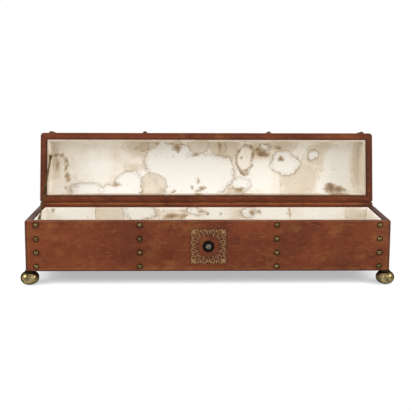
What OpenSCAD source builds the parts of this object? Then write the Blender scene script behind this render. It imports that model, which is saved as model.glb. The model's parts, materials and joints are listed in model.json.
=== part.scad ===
// Long leather-covered box with a barrel lid, shown open on its stay chain.
// Millimetres. X runs along the box, the front faces -Y, Z is up and the feet stand on Z = 0.

/* [Case] */
// Width of the case over its leather
case_w = 720; // [400:10:900]
// Depth of the case over its leather
case_d = 150; // [120:5:240]
// Height of the base from its underside to its rim
base_h = 101; // [80:1:160]
// Height of the lid's straight walls
lid_wall_h = 46; // [44:1:80]
// Rise of the barrel top above the lid's walls
lid_rise = 18; // [12:1:30]
// Radius of the upright corners over the leather
corner_r = 5; // [4:0.5:12]
// Rounding of the leather along both rims
rim_edge_r = 2; // [1:0.25:3]
// Gap between the two rims when the lid is shut
parting_gap = 0.4; // [0.2:0.1:2]
// Angle that the stay chain lets the lid open to
open_angle = 99; // [90:1:110]

/* [Walls] */
// Thickness of the wall boards
board_t = 12; // [9:0.5:18]
// Thickness of the floor board
floor_t = 10; // [6:0.5:15]
// Thickness of the bent board in the lid's top
top_t = 6; // [5.5:0.5:8]
// Thickness of the leather
leather_t = 1.5; // [1:0.1:2.5]
// How far the leather is turned in below each rim
turn_in_h = 14; // [12:1:20]
// Thickness of the lining panels
lining_t = 4; // [3:0.25:6]
// Thickness of the lining under the lid's top
top_lining_t = 3; // [2:0.25:5]
// How far the lining's edge lies inside the rim
lining_drop = 1; // [0.5:0.25:3]

/* [Feet] */
// Diameter of a bun foot
foot_d = 36.5; // [30:0.5:44]
// Height of a foot from the floor to the case
foot_h = 27; // [25:0.5:36]
// Distance from the case's faces in to a foot's axis
foot_inset = 7.5; // [5.5:0.5:8.5]
// Diameter of the collar above the bun
foot_collar_d = 19; // [16:1:26]
// Height of the collar
foot_collar_h = 2; // [1:0.5:4]
// Diameter of the pad that a foot stands on
foot_pad_d = 13; // [11:0.5:20]
// Height of the pad
foot_pad_h = 1; // [1:0.5:3]
// Diameter of the stud that holds a foot
foot_stud_d = 4; // [3:0.5:5]
// How far the stud reaches into the foot
foot_stud_in = 15; // [10:1:20]
// How far the stud reaches up into the case
foot_stud_up = 22; // [12:1:30]

/* [Nails] */
// Diameter of a nail's domed head
nail_d = 10.8; // [8:0.2:13]
// Height of the head
nail_rise = 4.3; // [3:0.1:5.3]
// Diameter of the shank
nail_shank_d = 1.8; // [1.4:0.1:2.4]
// Length of the shank below the head
nail_shank_l = 6.5; // [4:0.25:6.75]
// Distance of the outer columns from the case's ends
nail_end = 22; // [18:0.5:30]
// Distance of the inner columns from the middle
nail_inner_x = 135; // [80:1:160]
// Distance of the first row from the rim
nail_first = 8.5; // [7:0.5:9]
// Distance from row to row
nail_pitch = 27.6; // [24:0.1:28]
// Rows on the front of the base
nail_rows = 4; // [2:1:4]
// Rows on the lid's front wall
lid_nail_rows = 2; // [1:1:2]
// Rows over the lid's top
top_nail_rows = 5; // [1:2:5]

/* [Front ornament] */
// Diameter of the boss's ring
boss_d = 23.5; // [20:0.5:28]
// Height of the ring's flange
boss_flange_h = 2; // [1:0.25:3]
// Thickness of the ring's round bead
boss_bead_d = 4; // [3:0.25:5]
// Diameter of the dome inside the ring
boss_dome_d = 12.5; // [10:0.5:14]
// Height of the dome above the flange
boss_dome_h = 4.5; // [3:0.25:6]
// Distance of the ornament's middle below the rim
boss_drop = 51; // [48:1:56]
// Half the width of the scroll ornament
ornament_half = 36; // [32:1:40]
// Radius of the clear field round the boss
ornament_field_r = 18; // [16:0.5:20]
// Width of a scroll's bar
scroll_w = 2.4; // [1.6:0.2:3]
// Height of the leaves above the leather
leaf_h = 0.9; // [0.5:0.1:1.5]

/* [Hinges] */
// Distance of each hinge's middle from the case's end
hinge_end = 125; // [60:5:150]
// Length of a hinge's barrel
hinge_l = 50; // [40:1:70]
// Number of knuckles in a barrel
knuckles = 5; // [3:2:7]
// Diameter of the barrel
knuckle_d = 8.5; // [7:0.5:9]
// Diameter of the pin
pin_d = 4; // [3:0.25:4.5]
// Height of a leaf from the pin to its free edge
leaf_reach = 26; // [22:1:32]
// Thickness of a leaf
hinge_leaf_t = 1.4; // [1:0.1:2]
// Thickness of the leather strip that covers the hinge line
strip_t = 1.2; // [0.8:0.1:1.6]
// Distance from the case's ends in to the strip's ends
strip_inset = 2; // [1:0.5:8]
// Diameter of a hinge screw's shank
screw_d = 3; // [2.5:0.25:3.5]
// Diameter of its countersunk head
screw_head_d = 6; // [5:0.25:7]
// How far a hinge screw goes into its board
screw_grip = 8; // [6:0.5:9]

/* [Stay] */
// Distance of the lower stay screw from the front of the case
stay_front = 44; // [34:1:54]
// Distance of the lower stay screw below the base's rim
stay_drop = 5; // [5:0.25:8]
// Distance of the upper stay screw from the back of the lid
stay_back = 98; // [90:1:104]
// Distance of the upper stay screw inside the lid's rim
stay_rise = 6; // [5.5:0.5:10]
// Distance of the chain from the lining beside it
stay_off = 2.7; // [2.6:0.1:4]
// Diameter of the chain's wire
wire_d = 1.4; // [1.2:0.1:1.5]
// Width of a link between the middles of its wires
link_w = 3.5; // [3.3:0.1:3.6]
// Pitch that the links are made as near to as the span allows
link_pitch = 4.6; // [4.2:0.1:8]
// Diameter of the end rings between the middles of their wires
ring_d = 8.2; // [8:0.1:9]
// Diameter of a stay screw's neck
stay_neck_d = 3.2; // [3:0.1:4]
// Diameter of a stay screw's head and collar
stay_head_d = 7; // [6.9:0.1:7.2]
// Diameter of a stay screw's thread
stay_thread_d = 3; // [2.5:0.25:3.5]
// How far a stay screw goes into its board
stay_grip = 7; // [5:0.5:8]

/* [Hidden] */
$fn = 64;
// Clearances: a shank in its hole, a pin in its knuckle, knuckle to knuckle, link to link
hole_gap = 0.05;
pin_gap = 0.05;
knuckle_gap = 0.25;
link_gap = 0.12;
// How far one bar of a piece runs into the next
weld = 0.05;
// A cut runs this far past the face that it opens
past = 1;
// Room between a hinge's barrel and the strip beside it
barrel_gap = 0.1;

under_z = foot_h;
rim_z = foot_h + base_h;
board_low_z = under_z + leather_t;
board_top_z = rim_z - leather_t;
floor_top_z = board_low_z + floor_t;
// Half sizes of the boards' outside, their inside, and the lining's outside and inside
board_x = case_w / 2 - leather_t;
board_y = case_d / 2 - leather_t;
cavity_x = board_x - board_t;
cavity_y = board_y - board_t;
lining_x = cavity_x - leather_t;
lining_y = cavity_y - leather_t;
inner_x = lining_x - lining_t;
inner_y = lining_y - lining_t;
board_corner_r = corner_r - leather_t;

// The lid is drawn shut and then swung open about the hinge pins
lid_z = rim_z + parting_gap;
barrel_r = knuckle_d / 2;
pin_y = case_d / 2 + strip_t + barrel_gap + barrel_r;
pin_z = rim_z + parting_gap / 2;
// The barrel top is part of a cylinder along X
arch_r = (case_d * case_d / 4 + lid_rise * lid_rise) / (2 * lid_rise);
arch_z = lid_z + lid_wall_h + lid_rise - arch_r;
top_board_r = arch_r - leather_t;
top_under_r = top_board_r - top_t;
top_inner_r = top_under_r - top_lining_t;

nail_ball_r = (nail_d * nail_d / 4 + nail_rise * nail_rise) / (2 * nail_rise);
nail_outer_x = case_w / 2 - nail_end;
nail_columns = [-nail_outer_x, -nail_inner_x, nail_inner_x, nail_outer_x];
nail_arc = nail_pitch / arch_r * 180 / PI;
top_nail_angles = [for (i = [0 : top_nail_rows - 1]) (i - (top_nail_rows - 1) / 2) * nail_arc];

foot_x = case_w / 2 - foot_inset;
foot_y = case_d / 2 - foot_inset;
bun_h = foot_h - foot_collar_h - foot_pad_h;
bun_r = bun_h / 2;

boss_z = rim_z - boss_drop;
boss_screw_d = 4;
boss_screw_in = 3;
boss_head_d = 8;
boss_head_h = 2.5;
bead_ring_r = boss_d / 2 - boss_bead_d / 2;

scroll_r = ornament_half * 0.155;
scroll_x = ornament_half * 0.27;
scroll_y = ornament_half - scroll_r - scroll_w / 2;
scroll_from = -100;
scroll_to = 150;
drop_r = scroll_w * 0.65;
leaf_w = 4.5;
side_leaf_l = ornament_half - ornament_field_r - 3 * drop_r;
spray_y = ornament_field_r + 6;
spray_l = ornament_half * 0.5;
spray_a = 34;

hinge_x = case_w / 2 - hinge_end;
hinge_centres = [-hinge_x, hinge_x];
knuckle_l = hinge_l / knuckles;
screw_head_h = (screw_head_d - screw_d) / 2;
screw_row = leaf_reach * 0.62;
screw_spread = hinge_l / 2 - screw_head_d;
screw_l = hinge_leaf_t + strip_t + leather_t + screw_grip;
strip_inner_r = barrel_r + barrel_gap;
strip_outer_r = strip_inner_r + strip_t;
strip_reach = leaf_reach + 2;
strip_half = case_w / 2 - strip_inset;
weld_angle = asin(weld / strip_inner_r);
pin_head_d = pin_d + 2;
pin_head_h = 0.8;

// Stay chain: its two ends, as [y, z], with the lid open
wire_r = wire_d / 2;
link_r = link_w / 2;
ring_r = ring_d / 2;
stay_x = -(inner_x - stay_off);
stay_low = [-case_d / 2 + stay_front, rim_z - stay_drop];
stay_high_shut = [case_d / 2 - stay_back, lid_z + stay_rise];
stay_high = swung(stay_high_shut);
stay_span = norm(stay_high - stay_low);
stay_tilt = atan2(stay_high[1] - stay_low[1], stay_high[0] - stay_low[0]);
ring_slip = ring_r - wire_r - stay_neck_d / 2 - link_gap;
ring_reach = ring_slip + ring_r - wire_r - link_gap / 2;
link_count = round((stay_span - 2 * ring_reach) / link_pitch);
real_pitch = (stay_span - 2 * ring_reach) / link_count;
link_straight = real_pitch - link_w + wire_d + link_gap;
// The chain takes a slow twist, so that both end rings lie flat against the wall
link_turn = 90 + ((link_count + 1) % 2 == 0 ? 180 : 90) / (link_count + 1);
stay_head_h = 1.8;
stay_collar_l = stay_off - wire_r - 2 * link_gap;
stay_neck_l = wire_d + 4 * link_gap;
stay_thread_l = lining_t + leather_t + stay_grip;

// The frame's Y origin is halfway between the feet's front and the open lid's back
function swung(p) = [
    pin_y + (p[0] - pin_y) * cos(open_angle) + (p[1] - pin_z) * sin(open_angle),
    pin_z - (p[0] - pin_y) * sin(open_angle) + (p[1] - pin_z) * cos(open_angle)
];
lean = open_angle - 90;
arch_centre_open = swung([0, arch_z]);
top_nail_backs = [for (a = top_nail_angles)
    (arch_r + nail_rise - nail_ball_r) * cos(a + lean) + nail_ball_r];
back_y = arch_centre_open[0] + max(concat([arch_r], top_nail_backs));
front_y = -foot_y - foot_d / 2;
frame_shift = -(back_y + front_y) / 2;

// Placing

// Moves the base-centred drawing into the part's frame
module in_frame() translate([0, frame_shift, 0]) children();

// Swings what is drawn on the shut lid to where the stay chain holds it
module swing_open() translate([0, pin_y, pin_z]) rotate([-open_angle, 0, 0])
    translate([0, -pin_y, -pin_z]) children();

module lid_piece() in_frame() swing_open() children();

// Common shapes

module rounded_plan(half_x, half_y, r) {
    square([2 * half_x - 2 * r, 2 * half_y], center = true);
    square([2 * half_x, 2 * half_y - 2 * r], center = true);
    for (sx = [-1, 1], sy = [-1, 1]) translate([sx * (half_x - r), sy * (half_y - r)]) circle(r);
}

module upright_block(half_x, half_y, r, low, high)
    translate([0, 0, low]) linear_extrude(high - low) rounded_plan(half_x, half_y, r);

module slab(low, high) translate(low) cube(high - low);

// The section of a block with rounded top edges
module soft_section(half, edge, h) {
    translate([-half, 0]) square([2 * half, h - edge]);
    translate([edge - half, 0]) square([2 * half - 2 * edge, h]);
    for (s = [-1, 1]) translate([s * (half - edge), h - edge]) circle(edge);
}

// A block with rounded upright corners and rounded top edges
module soft_block(half_x, half_y, r, edge, h) intersection() {
    upright_block(half_x, half_y, r, 0, h + past);
    rotate([90, 0, 0]) linear_extrude(4 * half_y, center = true) soft_section(half_x, edge, h);
    rotate([90, 0, 90]) linear_extrude(4 * half_x, center = true) soft_section(half_y, edge, h);
}

// The leather over four walls: down the outside, over the rim and a little way in.
// Drawn with the rim up, the wall's foot at Z = 0 and the rim at Z = h
module leather_wrap(h) {
    difference() {
        soft_block(case_w / 2, case_d / 2, corner_r, rim_edge_r, h);
        upright_block(board_x, board_y, board_corner_r, -past, h - leather_t);
        slab([-lining_x, -lining_y, -past], [lining_x, lining_y, h + past]);
    }
    difference() {
        slab([-cavity_x, -cavity_y, h - turn_in_h], [cavity_x, cavity_y, h - leather_t]);
        slab([-lining_x, -lining_y, 0], [lining_x, lining_y, h]);
    }
}

// A round bar along X, through the given point of a Y-Z section
module bar_x(r, y, z, low_x, high_x) translate([low_x, y, z]) rotate([0, 90, 0])
    cylinder(r = r, h = high_x - low_x);

// The space under a cylinder of the barrel top
module under_arch(r) bar_x(r, 0, arch_z, -case_w, case_w);

// Nails: dome up along +Z, its seat at Z = 0

module nail_head() intersection() {
    translate([0, 0, nail_rise - nail_ball_r]) sphere(nail_ball_r);
    cylinder(r = nail_d, h = nail_rise + past);
}

module nail() {
    nail_head();
    translate([0, 0, -nail_shank_l]) cylinder(d = nail_shank_d, h = nail_shank_l);
}

module nail_hole() translate([0, 0, -nail_shank_l - hole_gap])
    cylinder(r = nail_shank_d / 2 + hole_gap, h = nail_shank_l + 2 * hole_gap);

module at_base_nails() for (x = nail_columns, row = [0 : nail_rows - 1])
    translate([x, -case_d / 2, rim_z - nail_first - row * nail_pitch]) rotate([90, 0, 0]) children();

module at_lid_wall_nails() for (x = nail_columns, row = [0 : lid_nail_rows - 1])
    translate([x, -case_d / 2, lid_z + nail_first + row * nail_pitch]) rotate([90, 0, 0]) children();

module at_lid_top_nails() for (x = nail_columns, a = top_nail_angles)
    translate([x, 0, arch_z]) rotate([a, 0, 0]) translate([0, 0, arch_r]) children();

// Screws of the hinges: head up along +Z, its top flush at Z = 0

module hinge_screw() {
    translate([0, 0, -screw_head_h]) cylinder(d1 = screw_d, d2 = screw_head_d, h = screw_head_h);
    translate([0, 0, -screw_l]) cylinder(d = screw_d, h = screw_l - screw_head_h);
}

module hinge_screw_hole() {
    translate([0, 0, -screw_head_h]) cylinder(r1 = screw_d / 2 + hole_gap,
        r2 = screw_head_d / 2 + hole_gap, h = screw_head_h);
    translate([0, 0, -screw_l - hole_gap]) cylinder(r = screw_d / 2 + hole_gap, h = screw_l);
}

// side is -1 for the base's leaves and 1 for the lid's
module at_hinge_screws(side, centres = hinge_centres) for (x = centres, i = [-1, 0, 1])
    translate([x + i * screw_spread, case_d / 2 + strip_t + hinge_leaf_t, pin_z + side * screw_row])
        rotate([-90, 0, 0]) children();

// Stay screws: along +X from the lining's face at X = 0

module stay_screw() {
    translate([-stay_thread_l, 0, 0]) rotate([0, 90, 0])
        cylinder(d = stay_thread_d, h = stay_thread_l);
    rotate([0, 90, 0]) cylinder(d = stay_head_d, h = stay_collar_l);
    rotate([0, 90, 0]) cylinder(d = stay_neck_d, h = stay_collar_l + stay_neck_l);
    translate([stay_collar_l + stay_neck_l, 0, 0]) rotate([0, 90, 0]) rotate_extrude()
        intersection() {
            translate([0, stay_head_h - stay_head_d]) circle(stay_head_d);
            square([stay_head_d / 2, stay_head_h]);
        }
}

module stay_screw_hole() translate([-stay_thread_l - hole_gap, 0, 0]) rotate([0, 90, 0])
    cylinder(r = stay_thread_d / 2 + hole_gap, h = stay_thread_l + 2 * hole_gap);

module at_base_stay() translate([-inner_x, stay_low[0], stay_low[1]]) children();
module at_lid_stay() translate([-inner_x, stay_high_shut[0], stay_high_shut[1]]) children();

// Studs of the feet

module at_feet() for (sx = [-1, 1], sy = [-1, 1]) translate([sx * foot_x, sy * foot_y, 0]) children();

module foot_stud() translate([0, 0, foot_h - foot_stud_in])
    cylinder(d = foot_stud_d, h = foot_stud_in + foot_stud_up);

module foot_stud_hole() translate([0, 0, foot_h - foot_stud_in - hole_gap])
    cylinder(r = foot_stud_d / 2 + hole_gap, h = foot_stud_in + foot_stud_up + 2 * hole_gap);

// Screw of the boss, from inside the front board: its axis runs along Y

module boss_screw_shape(gap) translate([0, 0, boss_z]) {
    translate([0, -board_y + board_t, 0]) rotate([90, 0, 0])
        cylinder(r = boss_screw_d / 2 + gap, h = board_t + leather_t + boss_screw_in + gap);
    translate([0, -board_y + board_t - boss_head_h, 0]) rotate([-90, 0, 0])
        cylinder(r1 = boss_screw_d / 2 + gap, r2 = boss_head_d / 2 + gap, h = boss_head_h);
}

// Base boards

module base_long_board(side) color("burlywood") difference() {
    intersection() {
        upright_block(board_x, board_y, board_corner_r, board_low_z, board_top_z);
        translate([0, side * (board_y - board_t / 2), 0])
            slab([-case_w, -board_t / 2, 0], [case_w, board_t / 2, rim_z]);
    }
    at_feet() foot_stud_hole();
    if (side < 0) {
        at_base_nails() nail_hole();
        boss_screw_shape(hole_gap);
    } else at_hinge_screws(-1) hinge_screw_hole();
}

module base_front_board() in_frame() base_long_board(-1);
module base_rear_board() in_frame() base_long_board(1);

module base_end_board(side) color("burlywood") difference() {
    translate([side * (board_x - board_t / 2), 0, 0])
        slab([-board_t / 2, -cavity_y, board_low_z], [board_t / 2, cavity_y, board_top_z]);
    if (side < 0) at_base_stay() stay_screw_hole();
}

module base_left_board() in_frame() base_end_board(-1);
module base_right_board() in_frame() base_end_board(1);

module base_floor_board() color("burlywood") in_frame()
    slab([-cavity_x, -cavity_y, board_low_z], [cavity_x, cavity_y, floor_top_z]);

// Base leather

module base_leather_wrap() color("saddlebrown") in_frame() difference() {
    translate([0, 0, under_z]) leather_wrap(base_h);
    at_base_nails() nail_hole();
    boss_screw_shape(hole_gap);
    at_hinge_screws(-1) hinge_screw_hole();
    at_base_stay() stay_screw_hole();
}

module base_underside_leather() color("saddlebrown") in_frame() difference() {
    upright_block(board_x, board_y, board_corner_r, under_z, board_low_z);
    at_feet() foot_stud_hole();
}

// Base lining

module long_lining(side, low, high)
    translate([0, side * (lining_y - lining_t / 2), 0])
        slab([-lining_x, -lining_t / 2, low], [lining_x, lining_t / 2, high]);

module end_lining(side, low, high)
    translate([side * (lining_x - lining_t / 2), 0, 0])
        slab([-lining_t / 2, -inner_y, low], [lining_t / 2, inner_y, high]);

module base_front_lining() color("antiquewhite") in_frame()
    long_lining(-1, floor_top_z, rim_z - lining_drop);
module base_rear_lining() color("antiquewhite") in_frame()
    long_lining(1, floor_top_z, rim_z - lining_drop);
module base_left_lining() color("antiquewhite") in_frame() difference() {
    end_lining(-1, floor_top_z, rim_z - lining_drop);
    at_base_stay() stay_screw_hole();
}
module base_right_lining() color("antiquewhite") in_frame()
    end_lining(1, floor_top_z, rim_z - lining_drop);
module base_floor_lining() color("antiquewhite") in_frame()
    slab([-inner_x, -inner_y, floor_top_z], [inner_x, inner_y, floor_top_z + lining_t]);

// Lid boards: the walls stop under the bent top board

module lid_long_board(side) color("burlywood") difference() {
    intersection() {
        upright_block(board_x, board_y, board_corner_r, lid_z + leather_t, arch_z + arch_r);
        translate([0, side * (board_y - board_t / 2), 0])
            slab([-case_w, -board_t / 2, lid_z], [case_w, board_t / 2, arch_z + arch_r]);
        under_arch(top_under_r);
    }
    if (side < 0) at_lid_wall_nails() nail_hole();
    else at_hinge_screws(1) hinge_screw_hole();
}

module lid_front_board() lid_piece() lid_long_board(-1);
module lid_rear_board() lid_piece() lid_long_board(1);

module lid_end_board(side) color("burlywood") difference() {
    intersection() {
        translate([side * (board_x - board_t / 2), 0, 0])
            slab([-board_t / 2, -cavity_y, lid_z + leather_t], [board_t / 2, cavity_y, arch_z + arch_r]);
        under_arch(top_under_r);
    }
    if (side < 0) at_lid_stay() stay_screw_hole();
}

module lid_left_board() lid_piece() lid_end_board(-1);
module lid_right_board() lid_piece() lid_end_board(1);

module lid_top_board() color("burlywood") lid_piece() difference() {
    intersection() {
        upright_block(board_x, board_y, board_corner_r, lid_z, arch_z + arch_r);
        under_arch(top_board_r);
    }
    under_arch(top_under_r);
    at_lid_top_nails() nail_hole();
}

// Lid leather: the walls' wrap stops under the sheet that covers the top

module lid_leather_wrap() color("saddlebrown") lid_piece() difference() {
    intersection() {
        translate([0, 0, lid_z]) mirror([0, 0, 1]) translate([0, 0, -lid_wall_h - lid_rise])
            leather_wrap(lid_wall_h + lid_rise);
        under_arch(top_board_r);
    }
    at_lid_wall_nails() nail_hole();
    at_hinge_screws(1) hinge_screw_hole();
    at_lid_stay() stay_screw_hole();
}

module lid_leather_top() color("saddlebrown") lid_piece() difference() {
    intersection() {
        upright_block(case_w / 2, case_d / 2, corner_r, lid_z, arch_z + arch_r);
        under_arch(arch_r);
    }
    under_arch(top_board_r);
    at_lid_top_nails() nail_hole();
}

// Lid lining

module lid_long_lining(side) color("antiquewhite") intersection() {
    long_lining(side, lid_z + lining_drop, arch_z + arch_r);
    under_arch(top_inner_r);
}

module lid_end_lining(side) color("antiquewhite") difference() {
    intersection() {
        end_lining(side, lid_z + lining_drop, arch_z + arch_r);
        under_arch(top_inner_r);
    }
    if (side < 0) at_lid_stay() stay_screw_hole();
}

module lid_front_lining() lid_piece() lid_long_lining(-1);
module lid_rear_lining() lid_piece() lid_long_lining(1);
module lid_left_lining() lid_piece() lid_end_lining(-1);
module lid_right_lining() lid_piece() lid_end_lining(1);

module lid_top_lining() color("antiquewhite") lid_piece() difference() {
    intersection() {
        slab([-cavity_x, -cavity_y, lid_z], [cavity_x, cavity_y, arch_z + arch_r]);
        under_arch(top_under_r);
    }
    under_arch(top_inner_r);
}

// Hinges: the base's leaves have the outer knuckles, the lid's the ones between

module knuckle_span(i, grow) translate([-hinge_l / 2 + i * knuckle_l - grow, 0, 0])
    children();

module hinge_leaf(side) color("darkgoldenrod") {
    first = side < 0 ? 0 : 1;
    difference() {
        union() {
            translate([-hinge_l / 2, case_d / 2 + strip_t, side < 0 ? pin_z - leaf_reach : pin_z])
                cube([hinge_l, hinge_leaf_t, leaf_reach]);
            for (i = [first : 2 : knuckles - 1]) knuckle_span(i, 0)
                bar_x(barrel_r, pin_y, pin_z, knuckle_gap / 2, knuckle_l - knuckle_gap / 2);
        }
        for (i = [1 - first : 2 : knuckles - 1]) knuckle_span(i, 0)
            bar_x(barrel_r + knuckle_gap, pin_y, pin_z, -knuckle_gap / 2, knuckle_l + knuckle_gap / 2);
        bar_x(pin_d / 2 + pin_gap, pin_y, pin_z, -hinge_l, hinge_l);
        at_hinge_screws(side, [0]) hinge_screw_hole();
    }
}

module left_hinge_base_leaf() in_frame() translate([-hinge_x, 0, 0]) hinge_leaf(-1);
module right_hinge_base_leaf() in_frame() translate([hinge_x, 0, 0]) hinge_leaf(-1);
module left_hinge_lid_leaf() lid_piece() translate([-hinge_x, 0, 0]) hinge_leaf(1);
module right_hinge_lid_leaf() lid_piece() translate([hinge_x, 0, 0]) hinge_leaf(1);

module hinge_pins() color("goldenrod") in_frame() for (x = hinge_centres) {
    bar_x(pin_d / 2, pin_y, pin_z, x - hinge_l / 2, x + hinge_l / 2);
    bar_x(pin_head_d / 2, pin_y, pin_z, x - hinge_l / 2 - pin_head_h, x - hinge_l / 2);
    bar_x(pin_head_d / 2, pin_y, pin_z, x + hinge_l / 2, x + hinge_l / 2 + pin_head_h);
}

module base_hinge_screws() color("goldenrod") in_frame() at_hinge_screws(-1) hinge_screw();
module lid_hinge_screws() color("goldenrod") lid_piece() at_hinge_screws(1) hinge_screw();

// The leather strip that covers the hinge line: down the base's back, round the barrels and
// up the lid's back. Its bend is a hair thinner than its flats and runs a hair into them
module hinge_strip() color("sienna") in_frame() difference() {
    union() {
        slab([-strip_half, case_d / 2, pin_z - strip_reach], [strip_half, case_d / 2 + strip_t, pin_z]);
        translate([-strip_half, pin_y, pin_z]) rotate([0, 90, 0])
            rotate([0, 0, 270 - open_angle - weld_angle])
                rotate_extrude(angle = open_angle + 2 * weld_angle)
                    translate([strip_inner_r + weld / 5, weld])
                        square([strip_t - 2 * weld / 5, 2 * strip_half - 2 * weld]);
        swing_open() slab([-strip_half, case_d / 2, pin_z],
            [strip_half, case_d / 2 + strip_t, pin_z + strip_reach]);
    }
    at_hinge_screws(-1) hinge_screw_hole();
    swing_open() at_hinge_screws(1) hinge_screw_hole();
}

// Stay chain

// One link along X, flat in the X-Y plane. The straight wires are a hair thinner than the bends
// and run a hair into them, so that the link is one solid
module link() for (s = [-1, 1]) {
    translate([s * link_straight / 2, 0, 0]) rotate([0, 0, -90 * s])
        rotate_extrude(angle = 180) translate([link_r, 0]) circle(wire_r);
    translate([-link_straight / 2 - weld, s * link_r, 0]) rotate([0, 90, 0])
        cylinder(r = wire_r - weld / 5, h = link_straight + 2 * weld);
}

module end_ring() rotate_extrude() translate([ring_r, 0]) circle(wire_r);

module stay_chain() color("darkkhaki") in_frame()
    translate([stay_x, stay_low[0], stay_low[1]]) rotate([stay_tilt, 0, 0]) rotate([0, 0, 90])
        rotate([90, 0, 0]) {
            translate([ring_slip, 0, 0]) end_ring();
            for (k = [1 : link_count]) translate([ring_reach + (k - 0.5) * real_pitch, 0, 0])
                rotate([k * link_turn, 0, 0]) link();
            translate([stay_span - ring_slip, 0, 0]) end_ring();
        }

module base_stay_screw() color("goldenrod") in_frame() at_base_stay() stay_screw();
module lid_stay_screw() color("goldenrod") lid_piece() at_lid_stay() stay_screw();

// Feet

module foot(sx, sy) color("darkkhaki") translate([sx * foot_x, sy * foot_y, 0]) difference() {
    union() {
        cylinder(d = foot_pad_d, h = foot_pad_h + bun_r);
        translate([0, 0, foot_pad_h + bun_r]) rotate_extrude() intersection() {
            union() {
                translate([foot_d / 2 - bun_r, 0]) circle(bun_r);
                translate([0, -bun_r]) square([foot_d / 2 - bun_r, bun_h]);
            }
            translate([0, -bun_r]) square([foot_d, bun_h]);
        }
        translate([0, 0, foot_h - foot_collar_h - bun_r])
            cylinder(d = foot_collar_d, h = foot_collar_h + bun_r);
    }
    foot_stud_hole();
}

module front_left_foot() in_frame() foot(-1, -1);
module front_right_foot() in_frame() foot(1, -1);
module rear_left_foot() in_frame() foot(-1, 1);
module rear_right_foot() in_frame() foot(1, 1);
module foot_studs() color("silver") in_frame() at_feet() foot_stud();

// Boss and ornament: drawn facing +Z and set on the front

module on_front() translate([0, -case_d / 2, boss_z]) rotate([90, 0, 0]) children();

module boss_ring() color("dimgray") in_frame() difference() {
    on_front() {
        cylinder(d = boss_d, h = boss_flange_h);
        translate([0, 0, boss_flange_h]) rotate_extrude() translate([bead_ring_r, 0])
            circle(boss_bead_d / 2);
    }
    on_front() translate([0, 0, boss_flange_h]) cylinder(d = boss_dome_d + 2 * hole_gap, h = boss_bead_d);
    boss_screw_shape(hole_gap);
}

module boss_dome() color("rosybrown") in_frame() difference() {
    on_front() translate([0, 0, boss_flange_h]) {
        cylinder(d = boss_dome_d, h = boss_dome_h - boss_dome_d / 4);
        translate([0, 0, boss_dome_h - boss_dome_d / 4]) rotate_extrude() intersection() {
            dome_r = boss_dome_d * 0.625;
            translate([0, boss_dome_d / 4 - dome_r]) circle(dome_r);
            square([boss_dome_d / 2, boss_dome_d / 4]);
        }
    }
    boss_screw_shape(hole_gap);
}

module boss_screw() color("silver") in_frame() boss_screw_shape(0);

// A half-round bar bent to an arc about the origin
module scroll_arc(r, from, to) rotate([0, 0, from]) rotate_extrude(angle = to - from)
    translate([r, 0]) intersection() {
        circle(scroll_w / 2);
        translate([-scroll_w / 2, 0]) square([scroll_w, scroll_w / 2]);
    }

// The right-hand one and its mirror image
module both_hands() {
    children();
    mirror([1, 0, 0]) children();
}

module drop() intersection() {
    sphere(drop_r);
    translate([0, 0, drop_r]) cube(2 * drop_r, center = true);
}

// A pointed leaf from the origin along +Y
module leaf(l, w) {
    r = (l * l + w * w) / (4 * w);
    linear_extrude(leaf_h) translate([0, l / 2]) intersection() {
        translate([r - w / 2, 0]) circle(r);
        translate([w / 2 - r, 0]) circle(r);
    }
}

// Every side has a leaf between two scrolls, each bent round its drop, and a drop above the
// leaf. Every corner has a spray of three leaves
module scroll_ornament() color("goldenrod") in_frame() on_front()
    for (q = [0 : 3]) rotate([0, 0, q * 90]) {
        both_hands() translate([scroll_x, scroll_y, 0]) {
            scroll_arc(scroll_r, scroll_from, scroll_to);
            drop();
        }
        translate([0, ornament_field_r, 0]) leaf(side_leaf_l, leaf_w);
        translate([0, ornament_half - drop_r, 0]) drop();
        rotate([0, 0, -45]) translate([0, spray_y, 0]) {
            leaf(spray_l, leaf_w);
            for (t = [-spray_a, spray_a]) rotate([0, 0, t]) leaf(spray_l * 0.8, leaf_w);
        }
    }

module base_nails() color("darkgoldenrod") in_frame() at_base_nails() nail();
module lid_nails() color("darkgoldenrod") lid_piece() {
    at_lid_wall_nails() nail();
    at_lid_top_nails() nail();
}

base_front_board();
base_rear_board();
base_left_board();
base_right_board();
base_floor_board();
base_leather_wrap();
base_underside_leather();
base_front_lining();
base_rear_lining();
base_left_lining();
base_right_lining();
base_floor_lining();
lid_front_board();
lid_rear_board();
lid_left_board();
lid_right_board();
lid_top_board();
lid_leather_wrap();
lid_leather_top();
lid_front_lining();
lid_rear_lining();
lid_left_lining();
lid_right_lining();
lid_top_lining();
left_hinge_base_leaf();
right_hinge_base_leaf();
left_hinge_lid_leaf();
right_hinge_lid_leaf();
hinge_pins();
base_hinge_screws();
lid_hinge_screws();
hinge_strip();
stay_chain();
base_stay_screw();
lid_stay_screw();
front_left_foot();
front_right_foot();
rear_left_foot();
rear_right_foot();
foot_studs();
boss_ring();
boss_dome();
boss_screw();
scroll_ornament();
base_nails();
lid_nails();
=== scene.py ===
"""A long leather-covered box with a barrel lid: the look of every surface over its fixed frame.

The frame gives each piece's place. Lengths are in metres, the front faces -Y and Z is up.
Pieces of the lid are drawn with the lid shut and then swung to where the stay chain holds it.
"""

import json
import math

import bmesh
import bpy
import numpy as np
from bpy.props import FloatProperty, FloatVectorProperty, IntProperty, PointerProperty
from mathutils import Matrix, Vector, noise


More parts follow.
